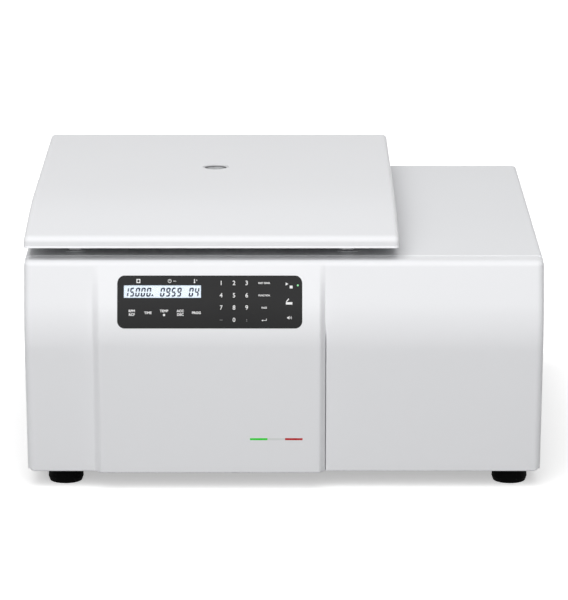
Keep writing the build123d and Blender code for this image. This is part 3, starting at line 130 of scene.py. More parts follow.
def applyCut(piece, cutter):
    cut = piece.modifiers.new("cut", "BOOLEAN")
    cut.operation = "DIFFERENCE"
    cut.solver = "EXACT"
    cut.object = cutter
    graph = bpy.context.evaluated_depsgraph_get()
    mesh = bpy.data.meshes.new_from_object(piece.evaluated_get(graph))
    piece.modifiers.remove(cut)
    piece.data = mesh
    bpy.data.objects.remove(cutter)


# shader groups that several finishes share


def newGroup(name, inputs, outputs):
    group = bpy.data.node_groups.new(name, "ShaderNodeTree")
    for label, kind, value in inputs:
        socket = group.interface.new_socket(label, in_out="INPUT", socket_type=kind)
        if value is not None:
            socket.default_value = value
    for label, kind in outputs:
        group.interface.new_socket(label, in_out="OUTPUT", socket_type=kind)
    return group, group.nodes.new("NodeGroupInput"), group.nodes.new("NodeGroupOutput")


def emptyTree(owner, outputKind):
    owner.use_nodes = True
    owner.node_tree.nodes.clear()
    return owner.node_tree, owner.node_tree.nodes.new(outputKind)


def addNode(tree, kind, settings=None, inputs=None):
    node = tree.nodes.new(kind)
    for key, value in (settings or {}).items():
        setattr(node, key, value)
    for key, value in (inputs or {}).items():
        if isinstance(value, bpy.types.NodeSocket):
            tree.links.new(value, node.inputs[key])
        else:
            node.inputs[key].default_value = value
    return node


def buildFinishGroup(name, secondColor, noiseDetails):
    # one colour drifts into a second; the finest noise also varies the roughness and the height
    group, source, sink = newGroup(name, [
        ("Coordinates", "NodeSocketVector", None),
        ("Color", "NodeSocketColor", (0.8, 0.8, 0.8, 1.0)),
        (secondColor, "NodeSocketColor", (0.7, 0.7, 0.7, 1.0)),
        *((scale, "NodeSocketFloat", 100.0) for scale in noiseDetails),
        ("Roughness", "NodeSocketFloat", 0.4),
        ("Roughness Spread", "NodeSocketFloat", 0.1),
    ], [("Color", "NodeSocketColor"), ("Roughness", "NodeSocketFloat"), ("Height", "NodeSocketFloat")])
    noises = [addNode(group, "ShaderNodeTexNoise", inputs={
        "Vector": source.outputs["Coordinates"], "Scale": source.outputs[scale], "Detail": detail})
        for scale, detail in noiseDetails.items()]
    broad, fine = noises[0].outputs["Fac"], noises[-1].outputs["Fac"]
    tint = addNode(group, "ShaderNodeMix", {"data_type": "RGBA"},
                   {0: broad, 6: source.outputs["Color"], 7: source.outputs[secondColor]})
    centred = addNode(group, "ShaderNodeMath", {"operation": "SUBTRACT"}, {0: fine, 1: 0.5})
    spread = addNode(group, "ShaderNodeMath", {"operation": "MULTIPLY"},
                     {0: centred.outputs[0], 1: source.outputs["Roughness Spread"]})
    rough = addNode(group, "ShaderNodeMath", {"operation": "ADD", "use_clamp": True},
                    {0: spread.outputs[0], 1: source.outputs["Roughness"]})
    for label, socket in (("Color", tint.outputs[2]), ("Roughness", rough.outputs[0]), ("Height", fine)):
        group.links.new(socket, sink.inputs[label])
    return group


# a moulded or painted skin: broad cloudiness and a fine peel
skinGroup = buildFinishGroup("mouldedSkin", "Cloud Color", {"Cloud Scale": 3.0, "Peel Scale": 2.0})
# drawn-out grain, for brushed or turned metal: the coordinates arrive already stretched
grainGroup = buildFinishGroup("drawnGrain", "Scratch Color", {"Grain Scale": 4.0})


def newFinish(name, group, look):
    material = bpy.data.materials.new(name)
    tree, output = emptyTree(material, "ShaderNodeOutputMaterial")
    shader = tree.nodes.new("ShaderNodeBsdfPrincipled")
    tree.links.new(shader.outputs[0], output.inputs[0])
    coordinates = tree.nodes.new("ShaderNodeTexCoord")
    mapping = addNode(tree, "ShaderNodeMapping", inputs={
        "Vector": coordinates.outputs["Object"], "Scale": look["stretch"]})
    effect = addNode(tree, "ShaderNodeGroup", {"node_tree": group})
    tree.links.new(mapping.outputs[0], effect.inputs["Coordinates"])
    for label, value in look["effect"].items():
        effect.inputs[label].default_value = value
    tree.links.new(effect.outputs["Color"], shader.inputs["Base Color"])
    tree.links.new(effect.outputs["Roughness"], shader.inputs["Roughness"])
    bump = addNode(tree, "ShaderNodeBump", inputs={
        "Height": effect.outputs["Height"], "Strength": look["bump"][0], "Distance": look["bump"][1]})
    tree.links.new(bump.outputs[0], shader.inputs["Normal"])
    for label, value in look["shader"].items():
        shader.inputs[label].default_value = value
    return material


def skinLook(color, cloud, scales, roughness, bump, gloss=0.5, **shader):
    # scales of cloud and peel, roughness and its spread, strength and depth of the bump
    effect = {"Color": (*color, 1.0), "Cloud Color": (*cloud, 1.0), "Cloud Scale": scales[0],
              "Peel Scale": scales[1], "Roughness": roughness[0], "Roughness Spread": roughness[1]}
    return skinGroup, {"effect": effect, "bump": bump, "stretch": (1.0, 1.0, 1.0),
                       "shader": {"Specular IOR Level": gloss, **shader}}


def grainLook(color, scratch, scale, roughness, bump, metallic=1.0, stretch=(1.0, 1.0, 1.0)):
    effect = {"Color": (*color, 1.0), "Scratch Color": (*scratch, 1.0), "Grain Scale": scale,
              "Roughness": roughness[0], "Roughness Spread": roughness[1]}
    return grainGroup, {"effect": effect, "bump": bump, "shader": {"Metallic": metallic}, "stretch": stretch}


# finishes of this machine, by the name of the slot
finishLooks = {
    "white_sheet": skinLook((0.858, 0.866, 0.885), (0.845, 0.853, 0.873), (5.0, 700.0), (0.42, 0.08),
        (0.05, 0.0002), gloss=0.2),
    "white_moulding": skinLook((0.868, 0.874, 0.893), (0.858, 0.864, 0.883), (4.0, 1300.0), (0.38, 0.06),
        (0.04, 0.0001), gloss=0.2),
    "black_rubber": skinLook((0.0018, 0.0018, 0.0019), (0.003, 0.003, 0.0031), (40.0, 2400.0), (0.7, 0.2),
        (0.25, 0.0001), gloss=0.04),
    "gasket_rubber": skinLook((0.02, 0.02, 0.022), (0.03, 0.03, 0.032), (30.0, 1800.0), (0.55, 0.2),
        (0.2, 0.0001)),
    "zinc_steel": grainLook((0.56, 0.57, 0.58), (0.44, 0.45, 0.47), 120.0, (0.42, 0.3), (0.08, 0.0001)),
    "bright_steel": grainLook((0.68, 0.68, 0.69), (0.56, 0.57, 0.58), 600.0, (0.24, 0.2), (0.06, 0.00005)),
    "stainless_steel": grainLook((0.62, 0.625, 0.63), (0.5, 0.505, 0.515), 60.0, (0.33, 0.22),
        (0.1, 0.00006), stretch=(1.0, 1.0, 22.0)),
    "guard_paint": skinLook((0.05, 0.055, 0.06), (0.07, 0.075, 0.08), (9.0, 500.0), (0.5, 0.1),
        (0.15, 0.0002)),
    "keypad_film": skinLook((0.019, 0.019, 0.0195), (0.022, 0.022, 0.0225), (20.0, 3500.0), (0.55, 0.1),
        (0.12, 0.00004), gloss=0.12),
    "clear_window": skinLook((0.05, 0.055, 0.06), (0.07, 0.075, 0.08), (10.0, 300.0), (0.08, 0.03),
        (0.0, 0.0001), gloss=1.0, **{"Alpha": 0.1}),
    "display": skinLook((0.74, 0.86, 0.97), (0.83, 0.91, 0.98), (45.0, 4000.0), (0.35, 0.05),
        (0.02, 0.00002), **{"Emission Color": (0.8, 0.9, 1.0, 1.0), "Emission Strength": 0.36}),
    "circuit_board": skinLook((0.02, 0.12, 0.05), (0.03, 0.17, 0.07), (300.0, 1500.0), (0.4, 0.1),
        (0.2, 0.0001)),
    "green_lamp": skinLook((0.16, 0.5, 0.2), (0.2, 0.6, 0.26), (400.0, 3000.0), (0.2, 0.05), (0.0, 0.0001),
        **{"Emission Color": (0.35, 1.0, 0.5, 1.0), "Emission Strength": 0.3}),
    "anodised_aluminium": grainLook((0.085, 0.088, 0.095), (0.12, 0.123, 0.13), 260.0, (0.36, 0.18),
        (0.1, 0.00005), metallic=0.75, stretch=(1.0, 1.0, 9.0)),
    "bare_aluminium": grainLook((0.66, 0.67, 0.68), (0.54, 0.55, 0.56), 180.0, (0.35, 0.25),
        (0.08, 0.0001), stretch=(1.0, 12.0, 1.0)),
    "black_plastic": skinLook((0.016, 0.016, 0.017), (0.022, 0.022, 0.023), (30.0, 2200.0), (0.42, 0.15),
        (0.2, 0.00008)),
    "grey_plastic": skinLook((0.5, 0.505, 0.515), (0.54, 0.545, 0.555), (25.0, 2000.0), (0.38, 0.1),
        (0.1, 0.0001)),
    "motor_paint": skinLook((0.03, 0.032, 0.036), (0.045, 0.048, 0.052), (18.0, 800.0), (0.4, 0.12),
        (0.15, 0.0002)),
    "compressor_paint": skinLook((0.012, 0.012, 0.013), (0.02, 0.02, 0.021), (14.0, 600.0), (0.3, 0.12),
        (0.2, 0.0002)),
    "copper": grainLook((0.78, 0.4, 0.25), (0.55, 0.26, 0.17), 90.0, (0.3, 0.25), (0.05, 0.0001)),
    "foam": skinLook((0.78, 0.7, 0.48), (0.84, 0.77, 0.56), (60.0, 420.0), (0.9, 0.1), (0.8, 0.0006)),
}
finishes = {slot: newFinish(slot, group, look) for slot, (group, look) in finishLooks.items()}
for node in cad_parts.values():
    for index, material in enumerate(node.data.materials):
        node.data.materials[index] = finishes[material.name.split(".")[0]]
print("finishes on the nodes:", len(finishes))


# front moulding: side zones and a proud control zone, softly blended into each other

panelLow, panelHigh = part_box("front_panel")
windowLow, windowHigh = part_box("lcd_window")
frontShape = {
    "knee": 0.195, "proudStep": 0.008, "lowerLean": 9.0, "ledge": 0.0085, "ledgeFall": 2.2,
    "foot": 0.0016, "edge": 0.0085, "topEase": 0.72, "leastRadius": 0.001, "wall": 0.003, "sharpAngle": 38.0,
    "side": {"proud": 0.0, "radius": 0.145, "lean": 13.2},
    "control": {"proud": 0.008, "radius": 0.107, "lean": 20.5},
    "bevelLeft": -0.2222, "bevelRight": -0.2122, "flankLeft": 0.0400, "flankRight": 0.0477,
    "flankBow": (1.6, 0.6), "crease": 0.0013, "creaseDepth": 0.0052, "creaseTop": 0.176, "creaseFade": 0.03,
    "rim": 0.0008, "rimStep": 0.0006, "rimReach": 1.7, "windowMargin": 0.001,
    # rows up the face
    "topRow": 0.2635, "rowStep": 0.0055, "fineStep": 0.0025, "fineBand": (0.17, 0.236), "footRow": 0.06,
    "footGap": 0.004, "rowGap": 0.0012, "arcSteps": 8, "footSteps": 4,
    # stations along it
    "endSteps": 6, "sideStep": 0.012, "sideSteps": 6, "bevelSteps": 14, "columnStep": 0.014, "columns": 17,
    "columnGap": 0.002, "flankSteps": 12, "creaseShares": (0.25, 0.5, 0.75, 1.0, 1.6), "rightSteps": 10,
}


def frontFaceY(zone, z, inset=0.0):
    lean = math.radians(zone["lean"])
    lower = math.radians(frontShape["lowerLean"])
    radius = zone["radius"] - inset
    centre = panelLow.y + frontShape["proudStep"] - zone["proud"] + zone["radius"]
    rise = z - frontShape["knee"]
    if rise > radius * math.sin(lean):
        return centre - radius * math.cos(lean) + (rise - radius * math.sin(lean)) * math.tan(lean)
    if rise < -radius * math.sin(lower):
        return centre - radius * math.cos(lower) + (-radius * math.sin(lower) - rise) * math.tan(lower)
    return centre - math.sqrt(radius * radius - rise * rise)


def cornerArc(corner, towardA, towardB, radius, steps):
    a, b = Vector(towardA).normalized(), Vector(towardB).normalized()
    half = a.angle(b) / 2
    centre = Vector(corner) + (a + b).normalized() * (radius / math.sin(half))
    start = Vector(corner) + a * (radius / math.tan(half)) - centre
    end = Vector(corner) + b * (radius / math.tan(half)) - centre
    turn = start.angle(end)
    points = []
    for step in range(steps + 1):
        share = step / steps
        fromStart = start * (math.sin((1 - share) * turn) / math.sin(turn))
        points.append(centre + (fromStart + end * (math.sin(share * turn) / math.sin(turn))))
    return points


def frontRow(zone, inset, heights):
    # (y, z) from the seam, over the ledge, down the face and back under to the seam
    shape = frontShape
    turns = (zone["lean"], shape["lowerLean"], shape["ledgeFall"])
    lean, lower, fall = (math.radians(turn) for turn in turns)
    top = panelHigh.z - inset * shape["topEase"]
    bottom = panelLow.z + inset
    points = [Vector((panelHigh.y, top)), Vector((panelHigh.y - shape["rim"], top))]
    top -= shape["rimStep"]     # the ledge lies a little lower than its rear edge
    step = panelHigh.y - shape["rimReach"] * shape["rim"]
    points.append(Vector((step, top)))
    corner = top
    for attempt in range(4):        # where the falling ledge meets the face
        corner = top - (step - frontFaceY(zone, corner, inset)) * math.tan(fall)
    points += cornerArc((frontFaceY(zone, corner, inset), corner), (math.cos(fall), math.sin(fall)),
                        (-math.sin(lean), -math.cos(lean)),
                        max(shape["ledge"] - inset, shape["leastRadius"]), shape["arcSteps"])
    footRow, footGap = shape["footRow"], shape["footGap"]       # the low rows stay above an inset foot
    squeeze = (footRow - bottom - footGap) / (footRow - panelLow.z - footGap)
    for height in heights:
        z = height if height > footRow else footRow - (footRow - height) * squeeze
        points.append(Vector((frontFaceY(zone, z, inset), z)))
    points += cornerArc((frontFaceY(zone, bottom, inset), bottom), (-math.sin(lower), math.cos(lower)),
                        (1, 0), shape["foot"], shape["footSteps"])
    points.append(Vector((panelHigh.y, bottom)))
    return points


def smoothStep(value, low, high):
    share = min(max((value - low) / (high - low), 0.0), 1.0)
    return share * share * (3 - 2 * share)


def zoneWeight(x):
    # 0 on the side zones and 1 on the control zone: both shoulders soft at the left, only one at the right
    left = smoothStep(x, frontShape["bevelLeft"], frontShape["bevelRight"])
    span = frontShape["flankRight"] - frontShape["flankLeft"]
    share = min(max((x - frontShape["flankLeft"]) / span, 0.0), 1.0)
    bow, ease = frontShape["flankBow"]
    return left * (1 - (bow * share * share - ease * share ** 4))


def endStations(x, side, edge, steps):
    # (x, inset) round an end, from just off its flat part to the end itself
    turns = [math.pi / 2 * step / steps for step in range(1, steps + 1)]
    return [(x - side * edge * (1 - math.sin(turn)), edge * (1 - math.cos(turn))) for turn in turns]


def openWindow(bm, left, right, low, high):
    hole = []
    for face in bm.faces:
        middle = face.calc_center_median()
        if left < middle.x < right and low < middle.z < high:
            hole.append(face)
    bmesh.ops.delete(bm, geom=hole, context="FACES")


def awayFrom(places, kept, gap):
    return [place for place in places if min(abs(place - other) for other in kept) > gap]


def spread(start, span, steps, first=0):
    return [start + span * step / steps for step in range(first, steps + 1)]


def buildFrontShell():
    shape = frontShape
    heights = []
    z = shape["topRow"]
    while z > panelLow.z + shape["footGap"]:
        heights.append(z)
        z -= shape["fineStep"] if shape["fineBand"][0] < z < shape["fineBand"][1] else shape["rowStep"]
    margin = shape["windowMargin"]
    windowRows = [windowHigh.z + margin, windowLow.z - margin]
    heights = sorted(awayFrom(heights, windowRows, shape["rowGap"]) + windowRows, reverse=True)
    edge, crease = shape["edge"], shape["crease"]
    windowColumns = [windowLow.x - margin, windowHigh.x + margin]
    columns = [shape["bevelRight"] + shape["columnStep"] * step for step in range(1, shape["columns"] + 1)]
    start = shape["flankRight"] + crease * shape["creaseShares"][-1]
    middle = [panelLow.x + edge + shape["sideStep"] * step for step in range(shape["sideSteps"])]
    middle += spread(shape["bevelLeft"], shape["bevelRight"] - shape["bevelLeft"], shape["bevelSteps"])
    middle += sorted(awayFrom(columns, windowColumns, shape["columnGap"]) + windowColumns)
    middle += spread(shape["flankLeft"], shape["flankRight"] - shape["flankLeft"], shape["flankSteps"])
    middle += [shape["flankRight"] + crease * share for share in shape["creaseShares"]]
    middle += spread(start, panelHigh.x - edge - start, shape["rightSteps"], 1)[:-1] + [panelHigh.x - edge]
    stations = endStations(panelLow.x, -1, edge, shape["endSteps"])[::-1]
    stations += [(x, 0.0) for x in middle] + endStations(panelHigh.x, 1, edge, shape["endSteps"])
    rows = []
    for x, inset in stations:
        weight = zoneWeight(x)
        dip = max(0.0, 1 - abs(x - shape["flankRight"] - crease / 2) / (crease / 2))
        side, control = (frontRow(shape[zone], inset, heights) for zone in ("side", "control"))
        row = []
        for a, b in zip(side, control):
            point = a.lerp(b, weight)
            fade = 1 - smoothStep(point.y, shape["creaseTop"], shape["creaseTop"] + shape["creaseFade"])
            row.append(Vector((x, point.x + shape["creaseDepth"] * dip * fade, point.y)))
        rows.append(row)
    bm = bmesh.new()
    loftRows(bm, rows)
    closeEnd(bm, panelLow.x)
    closeEnd(bm, panelHigh.x)
    openWindow(bm, windowColumns[0], windowColumns[1], windowRows[1], windowRows[0])
    faceOutward(bm)
    thicken(bm, shape["wall"])
    shell = finishMesh("front_shell", bm, "housing", "white_moulding", shape["sharpAngle"])
    evenNormals(shell)
    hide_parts("front_panel")


buildFrontShell()
print("front moulding built")


# lid cover: flat at the back, a long bend, then a straight fall to a lip that leans back

lidLow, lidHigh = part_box("lid_cover")
sleeveLow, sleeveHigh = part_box("viewport_sleeve")
lidShape = {
    "flat": 0.346, "bend": 0.107, "slope": 8.25, "lean": 8.0, "edge": 0.0058, "crest": 0.0085, "wall": 0.003,
    "draft": 2.5, "bead": 0.0009, "beadHeight": 0.0020, "lipRound": 0.0006, "lipStep": 0.0002,
    "leastRadius": 0.0008, "sharpAngle": 30.0, "sleeveGap": 0.0006, "sleeveSides": 64,
    "endSteps": 7, "arcSteps": 6, "bendSteps": 14, "stations": 16,
    "flatShares": (0.75, 0.5, 0.25), "slopeShares": (0.3, 0.6, 0.85),
}


def lidRow(inset):
    # (y, z) from the back rim, over the top and down the front lip
    shape = lidShape
    slope, lean = math.radians(shape["slope"]), math.radians(shape["lean"])
    radius = shape["bend"] / math.sin(slope)
    top = lidHigh.z - inset
    back = lidHigh.y - inset
    bendY = lidHigh.y - shape["flat"]
    centreZ = lidHigh.z - radius
    points = [Vector((back, lidLow.z))]
    points += cornerArc((back, top), (0, -1), (-1, 0), max(shape["edge"] - inset, shape["leastRadius"]),
                        shape["arcSteps"])
    points += [Vector((bendY + share * (back - bendY), top)) for share in shape["flatShares"]]
    for step in range(shape["bendSteps"] + 1):
        turn = slope * step / shape["bendSteps"]
        reach = radius - inset
        points.append(Vector((bendY - reach * math.sin(turn), centreZ + reach * math.cos(turn))))
    bendEnd = points[-1]
    front = lidLow.y + inset / math.cos(lean)
    reach = bendEnd.x - front - (bendEnd.y - lidLow.z) * math.tan(lean)
    reach /= 1 - math.tan(slope) * math.tan(lean)
    crest = Vector((bendEnd.x - reach, bendEnd.y - reach * math.tan(slope)))
    points += [bendEnd.lerp(crest, share) for share in shape["slopeShares"]]
    points += cornerArc(crest, (math.cos(slope), math.sin(slope)), (-math.sin(lean), -math.cos(lean)),
                        max(shape["crest"] - inset, shape["leastRadius"]), shape["arcSteps"])
    beadZ = lidLow.z + shape["beadHeight"]
    points.append(Vector((front + (beadZ - lidLow.z) * math.tan(lean) + shape["bead"], beadZ)))
    points.append(Vector((front + shape["lipRound"] * math.tan(lean), lidLow.z + shape["lipRound"])))
    points.append(Vector((front + shape["lipStep"], lidLow.z)))
    return points


def buildLidShell():
    shape = lidShape
    edge = shape["edge"]
    inner = lidHigh.x - lidLow.x - 2 * edge
    stations = endStations(lidLow.x, -1, edge, shape["endSteps"])[::-1]
    stations += [(x, 0.0) for x in spread(lidLow.x + edge, inner, shape["stations"])]
    stations += endStations(lidHigh.x, 1, edge, shape["endSteps"])
    bm = bmesh.new()
    loftRows(bm, [[Vector((x, point.x, point.y)) for point in lidRow(inset)] for x, inset in stations])
    closeEnd(bm, lidLow.x)
    closeEnd(bm, lidHigh.x)
    centre = (lidLow.x + lidHigh.x) / 2
    half = (lidHigh.x - lidLow.x) / 2
    taper = math.tan(math.radians(shape["draft"]))
    for vert in bm.verts:
        vert.co.x = centre + (vert.co.x - centre) * (1 - (vert.co.z - lidLow.z) * taper / half)
    faceOutward(bm)
    thicken(bm, shape["wall"])
    shell = finishMesh("lid_shell", bm, "lid", "white_moulding", shape["sharpAngle"])
    drill = bmesh.new()
    middle = (sleeveLow + sleeveHigh) / 2
    hole = (sleeveHigh.x - sleeveLow.x) / 2 + shape["sleeveGap"]
    bmesh.ops.create_cone(drill, cap_ends=True, segments=shape["sleeveSides"], radius1=hole, radius2=hole,
                          depth=0.1, matrix=Matrix.Translation((middle.x, middle.y, lidHigh.z)))
    applyCut(shell, newObject("drill", drill))
    shell.data.set_sharp_from_angle(angle=math.radians(shape["sharpAngle"]))
    evenNormals(shell)
    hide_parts("lid_cover")


buildLidShell()
print("lid built")


# keypad film with its window, and the marks printed on it

filmLow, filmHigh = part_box("keypad_overlay")
filmShape = {"corner": 0.0085, "cornerSteps": 10, "proud": 0.00015, "thickness": 0.0004, "rows": 24,
             "inkLift": 0.00004}


def onControlFace(bm, lift):
    # every point of a flat drawing in X and Z is laid on the control zone's face, a little in front of it
    for vert in bm.verts:
        vert.co.y = frontFaceY(frontShape["control"], vert.co.z) - lift


def cutAcross(bm, place, direction):
    everything = bm.verts[:] + bm.edges[:] + bm.faces[:]
    bmesh.ops.bisect_plane(bm, geom=everything, plane_co=place, plane_no=direction)


def buildFilm():
    bm = bmesh.new()
    size = filmHigh - filmLow
    bmesh.ops.create_grid(bm, x_segments=1, y_segments=1, size=0.5)
    bmesh.ops.rotate(bm, verts=bm.verts, matrix=Matrix.Rotation(math.radians(90), 3, "X"))
    bmesh.ops.scale(bm, verts=bm.verts, vec=(size.x, 1.0, size.z))
    middle = (filmLow + filmHigh) / 2
    bmesh.ops.translate(bm, verts=bm.verts, vec=(middle.x, 0.0, middle.z))
    bmesh.ops.bevel(bm, geom=list(bm.verts), offset=filmShape["corner"], affect="VERTICES",
                    segments=filmShape["cornerSteps"], profile=0.5, material=-1, offset_type="OFFSET")
    for x in (windowLow.x, windowHigh.x):
        cutAcross(bm, (x, 0, 0), (1, 0, 0))
    for z in (windowLow.z, windowHigh.z):
        cutAcross(bm, (0, 0, z), (0, 0, 1))
    for z in spread(filmLow.z, size.z, filmShape["rows"], 1)[:-1]:
        cutAcross(bm, (0, 0, z), (0, 0, 1))
    openWindow(bm, windowLow.x, windowHigh.x, windowLow.z, windowHigh.z)
    onControlFace(bm, filmShape["proud"])
    faceOutward(bm)
    if sum(face.normal.y for face in bm.faces) > 0:
        bmesh.ops.reverse_faces(bm, faces=bm.faces)
    thicken(bm, filmShape["thickness"])
    film = finishMesh("keypad_skin", bm, "housing", "keypad_film")
    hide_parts("keypad_overlay")


buildFilm()


def plainFinish(name, color, roughness, gloss=0.3):
    cloud = tuple(channel * 0.96 for channel in color)
    return newFinish(name, *skinLook(color, cloud, (60.0, 3000.0), (roughness, 0.08), (0.05, 0.00002),
                                     gloss))


inkWhite = plainFinish("ink_white", (0.86, 0.86, 0.86), 0.5)
inkGrey = plainFinish("ink_grey", (0.25, 0.25, 0.25), 0.5)
inkBlue = plainFinish("display_ink", (0.007, 0.022, 0.07), 0.6, 0.1)
printGreen = plainFinish("print_green", (0.02, 0.74, 0.03), 0.45)
printPale = plainFinish("print_pale", (0.76, 0.78, 0.77), 0.45)
printRed = plainFinish("print_red", (0.5, 0.006, 0.012), 0.45)

# places on the film, from its left and upper edges, in metres
keypadMarks = {
    "numeralColumns": (0.1195, 0.1343, 0.1489), "numeralRows": (0.0083, 0.0217, 0.0351, 0.0488),
    "numeralHeight": 0.0047, "boldness": 0.022, "legendBoldness": 0.06,
    "wordColumn": 0.1690, "wordHeight": 0.0018, "words": ("FAST COOL", "FUNCTION", "PAGE"),
    "legendRow": 0.0408, "legendStep": 0.00405, "legendHeight": 0.0026, "legendStretch": 1.05,
    "legends": ((0.0168, ("RPM", "RCF")), (0.0354, ("TIME",)), (0.0539, ("TEMP", "*")),
                (0.0726, ("ACC", "DEC")), (0.0911, ("PROG",))),
    "iconRow": 0.0060, "iconRadius": 0.0021, "iconColumns": (0.0243, 0.0603, 0.0888),
    "rightColumn": 0.1977, "startRow": 0.0092, "stopRow": 0.0125, "lidRow": 0.0288, "soundRow": 0.0462,
}


def filmPoint(across, down):
    return filmLow.x + across, filmHigh.z - down


def embolden(glyphs, amount):
    # a narrow band of faces round every letter
    rim = [edge for edge in glyphs.edges if len(edge.link_faces) == 1]
    outward = {}
    for edge in rim:
        side = (edge.verts[1].co - edge.verts[0].co).normalized().cross(Vector((0, 0, 1)))
        if side.dot(edge.link_faces[0].calc_center_median() - edge.verts[0].co) > 0:
            side = -side
        for vert in edge.verts:
            outward[vert] = outward.get(vert, Vector()) + side
    for vert in pick(bmesh.ops.extrude_edge_only(glyphs, edges=rim)["geom"], BMVert):
        source = sourceOf(vert, outward)
        vert.co = source.co + outward[source].normalized() * amount


def addText(bm, text, across, down, height, stretch=1.0, boldness=0.0):
    curve = bpy.data.curves.new("mark", "FONT")
    curve.body = text
    curve.size = height / 0.69      # the capitals are about 0.69 of the font's size
    curve.align_x = "CENTER"
    curve.align_y = "CENTER"
    curve.resolution_u = 3
    holder = bpy.data.objects.new("mark", curve)
    mesh = bpy.data.meshes.new_from_object(holder)
    if boldness:
        glyphs = bmesh.new()
        glyphs.from_mesh(mesh)
        bmesh.ops.remove_doubles(glyphs, verts=glyphs.verts, dist=height * 0.0005)
        embolden(glyphs, height * boldness)
        glyphs.to_mesh(mesh)
        glyphs.free()
    x, z = filmPoint(across, down)
    known = set(bm.verts)
    bm.from_mesh(mesh)
    for vert in bm.verts:
        if vert not in known:
            vert.co = Vector((x + vert.co.x * stretch, 0.0, z + vert.co.y))
    bpy.data.objects.remove(holder)
    bpy.data.curves.remove(curve)
    bpy.data.meshes.remove(mesh)


def addDisc(bm, across, down, radius, inner=0.0, segments=28, arc=(0.0, 360.0)):
    # a disc or a flat ring, or part of a ring
    x, z = filmPoint(across, down)
    if not inner:
        place = Matrix.Translation((x, 0, z)) @ Matrix.Rotation(math.pi / 2, 4, "X")
        bmesh.ops.create_circle(bm, cap_ends=True, segments=segments, radius=radius, matrix=place)
        return
    start = math.radians(arc[0])
    spoke = Vector((math.cos(start), 0, math.sin(start)))
    centre = Vector((x, 0, z))
    verts = [bm.verts.new(centre + spoke * reach) for reach in (inner, radius)]
    edge = bm.edges.new(verts)
    bmesh.ops.spin(bm, geom=verts + [edge], cent=centre, axis=(0, -1, 0), angle=math.radians(arc[1] - arc[0]),
                   steps=segments, use_merge=arc[1] - arc[0] >= 360.0)


def addPatch(bm, across, down, outline):
    x, z = filmPoint(across, down)
    addFace(bm, [(x + dx, 0.0, z + dz) for dx, dz in outline])


def rectangle(width, height, dx=0.0, dz=0.0):
    return [(dx - width / 2, dz - height / 2), (dx + width / 2, dz - height / 2),
            (dx + width / 2, dz + height / 2), (dx - width / 2, dz + height / 2)]


def buildLegends():
    bm = bmesh.new()
    marks = keypadMarks
    columns, rows, words = marks["numeralColumns"], marks["numeralRows"], marks["wordColumn"]
    for number in range(1, 10):
        addText(bm, str(number), columns[(number - 1) % 3], rows[(number - 1) // 3],
                marks["numeralHeight"], boldness=marks["boldness"])
    addText(bm, "0", columns[1], rows[3], marks["numeralHeight"], boldness=marks["boldness"])
    for word, down in zip(marks["words"], rows):
        addText(bm, word, words, down, marks["wordHeight"], 1.0, marks["legendBoldness"])
    for across, lines in marks["legends"]:
        for index, line in enumerate(lines):
            down = marks["legendRow"] + (index - (len(lines) - 1) / 2) * marks["legendStep"]
            if line == "*":
                addDisc(bm, across, down + 0.0003, 0.0013)
            else:
                addText(bm, line, across, down, marks["legendHeight"], marks["legendStretch"],
                        marks["legendBoldness"])
    # enter arrow
    addPatch(bm, words, rows[3], rectangle(0.0046, 0.0006, 0.0004, -0.0005))
    addPatch(bm, words, rows[3], rectangle(0.0006, 0.0022, 0.0027, 0.0006))
    addPatch(bm, words, rows[3], [(-0.0032, -0.0005), (-0.0014, -0.0016), (-0.0014, 0.0006)])
    # run and stop, lid open, speaker
    right, lid, sound = marks["rightColumn"], marks["lidRow"], marks["soundRow"]
    addPatch(bm, right - 0.0026, marks["startRow"], [(-0.0014, -0.0017), (0.0017, 0.0), (-0.0014, 0.0017)])
    addPatch(bm, right + 0.0023, marks["stopRow"], rectangle(0.0034, 0.0030))
    addPatch(bm, right, lid, rectangle(0.0074, 0.0026, 0.0, -0.0014))
    addPatch(bm, right, lid, [(-0.0037, 0.0002), (-0.0027, 0.0002), (0.0002, 0.0034), (-0.0010, 0.0040)])
    addPatch(bm, right, sound, [(-0.0024, -0.0007), (-0.0012, -0.0007), (0.0004, -0.0019), (0.0004, 0.0019),
                                (-0.0012, 0.0007), (-0.0024, 0.0007)])
    for outer in (0.0016, 0.0026):
        addDisc(bm, right + 0.0004, sound, outer, outer - 0.0004, 8, (-45.0, 45.0))
    # rotor, clock and thermometer above the display
    rotor, clock, heat = marks["iconColumns"]
    iconRow, radius = marks["iconRow"], marks["iconRadius"]
    addPatch(bm, rotor, iconRow, rectangle(0.0044, 0.0044))
    addDisc(bm, clock, iconRow, radius, radius - 0.0005)
    addPatch(bm, clock, iconRow, rectangle(0.0004, 0.0014, 0.0, 0.0006))
    addPatch(bm, clock, iconRow, rectangle(0.0011, 0.0004, 0.0005, 0.0))
    addText(bm, "min", clock + 0.0058, iconRow, 0.0016)
    addPatch(bm, heat, iconRow, rectangle(0.0009, 0.0032, 0.0, 0.0006))
    addDisc(bm, heat, iconRow + 0.0014, 0.0009)
    addDisc(bm, heat + 0.0026, iconRow - 0.0009, 0.0007, 0.0004, 12)
    onControlFace(bm, filmShape["proud"] + filmShape["inkLift"])
    faceOutward(bm)
    for face in bm.faces:
        if face.normal.y > 0:
            face.normal_flip()
    finishMesh("keypad_legends", bm, "housing", "white_moulding", material=inkWhite)


def buildFaintMarks():
    # the two faint keys beside the nought
    bm = bmesh.new()
    columns, down = keypadMarks["numeralColumns"], keypadMarks["numeralRows"][3]
    addPatch(bm, columns[0], down, rectangle(0.0034, 0.0005))
    addDisc(bm, columns[2], down + 0.0012, 0.0005)
    addDisc(bm, columns[2], down - 0.0004, 0.0005)
    onControlFace(bm, filmShape["proud"] + filmShape["inkLift"])
    finishMesh("keypad_faint_marks", bm, "housing", "keypad_film", material=inkGrey)


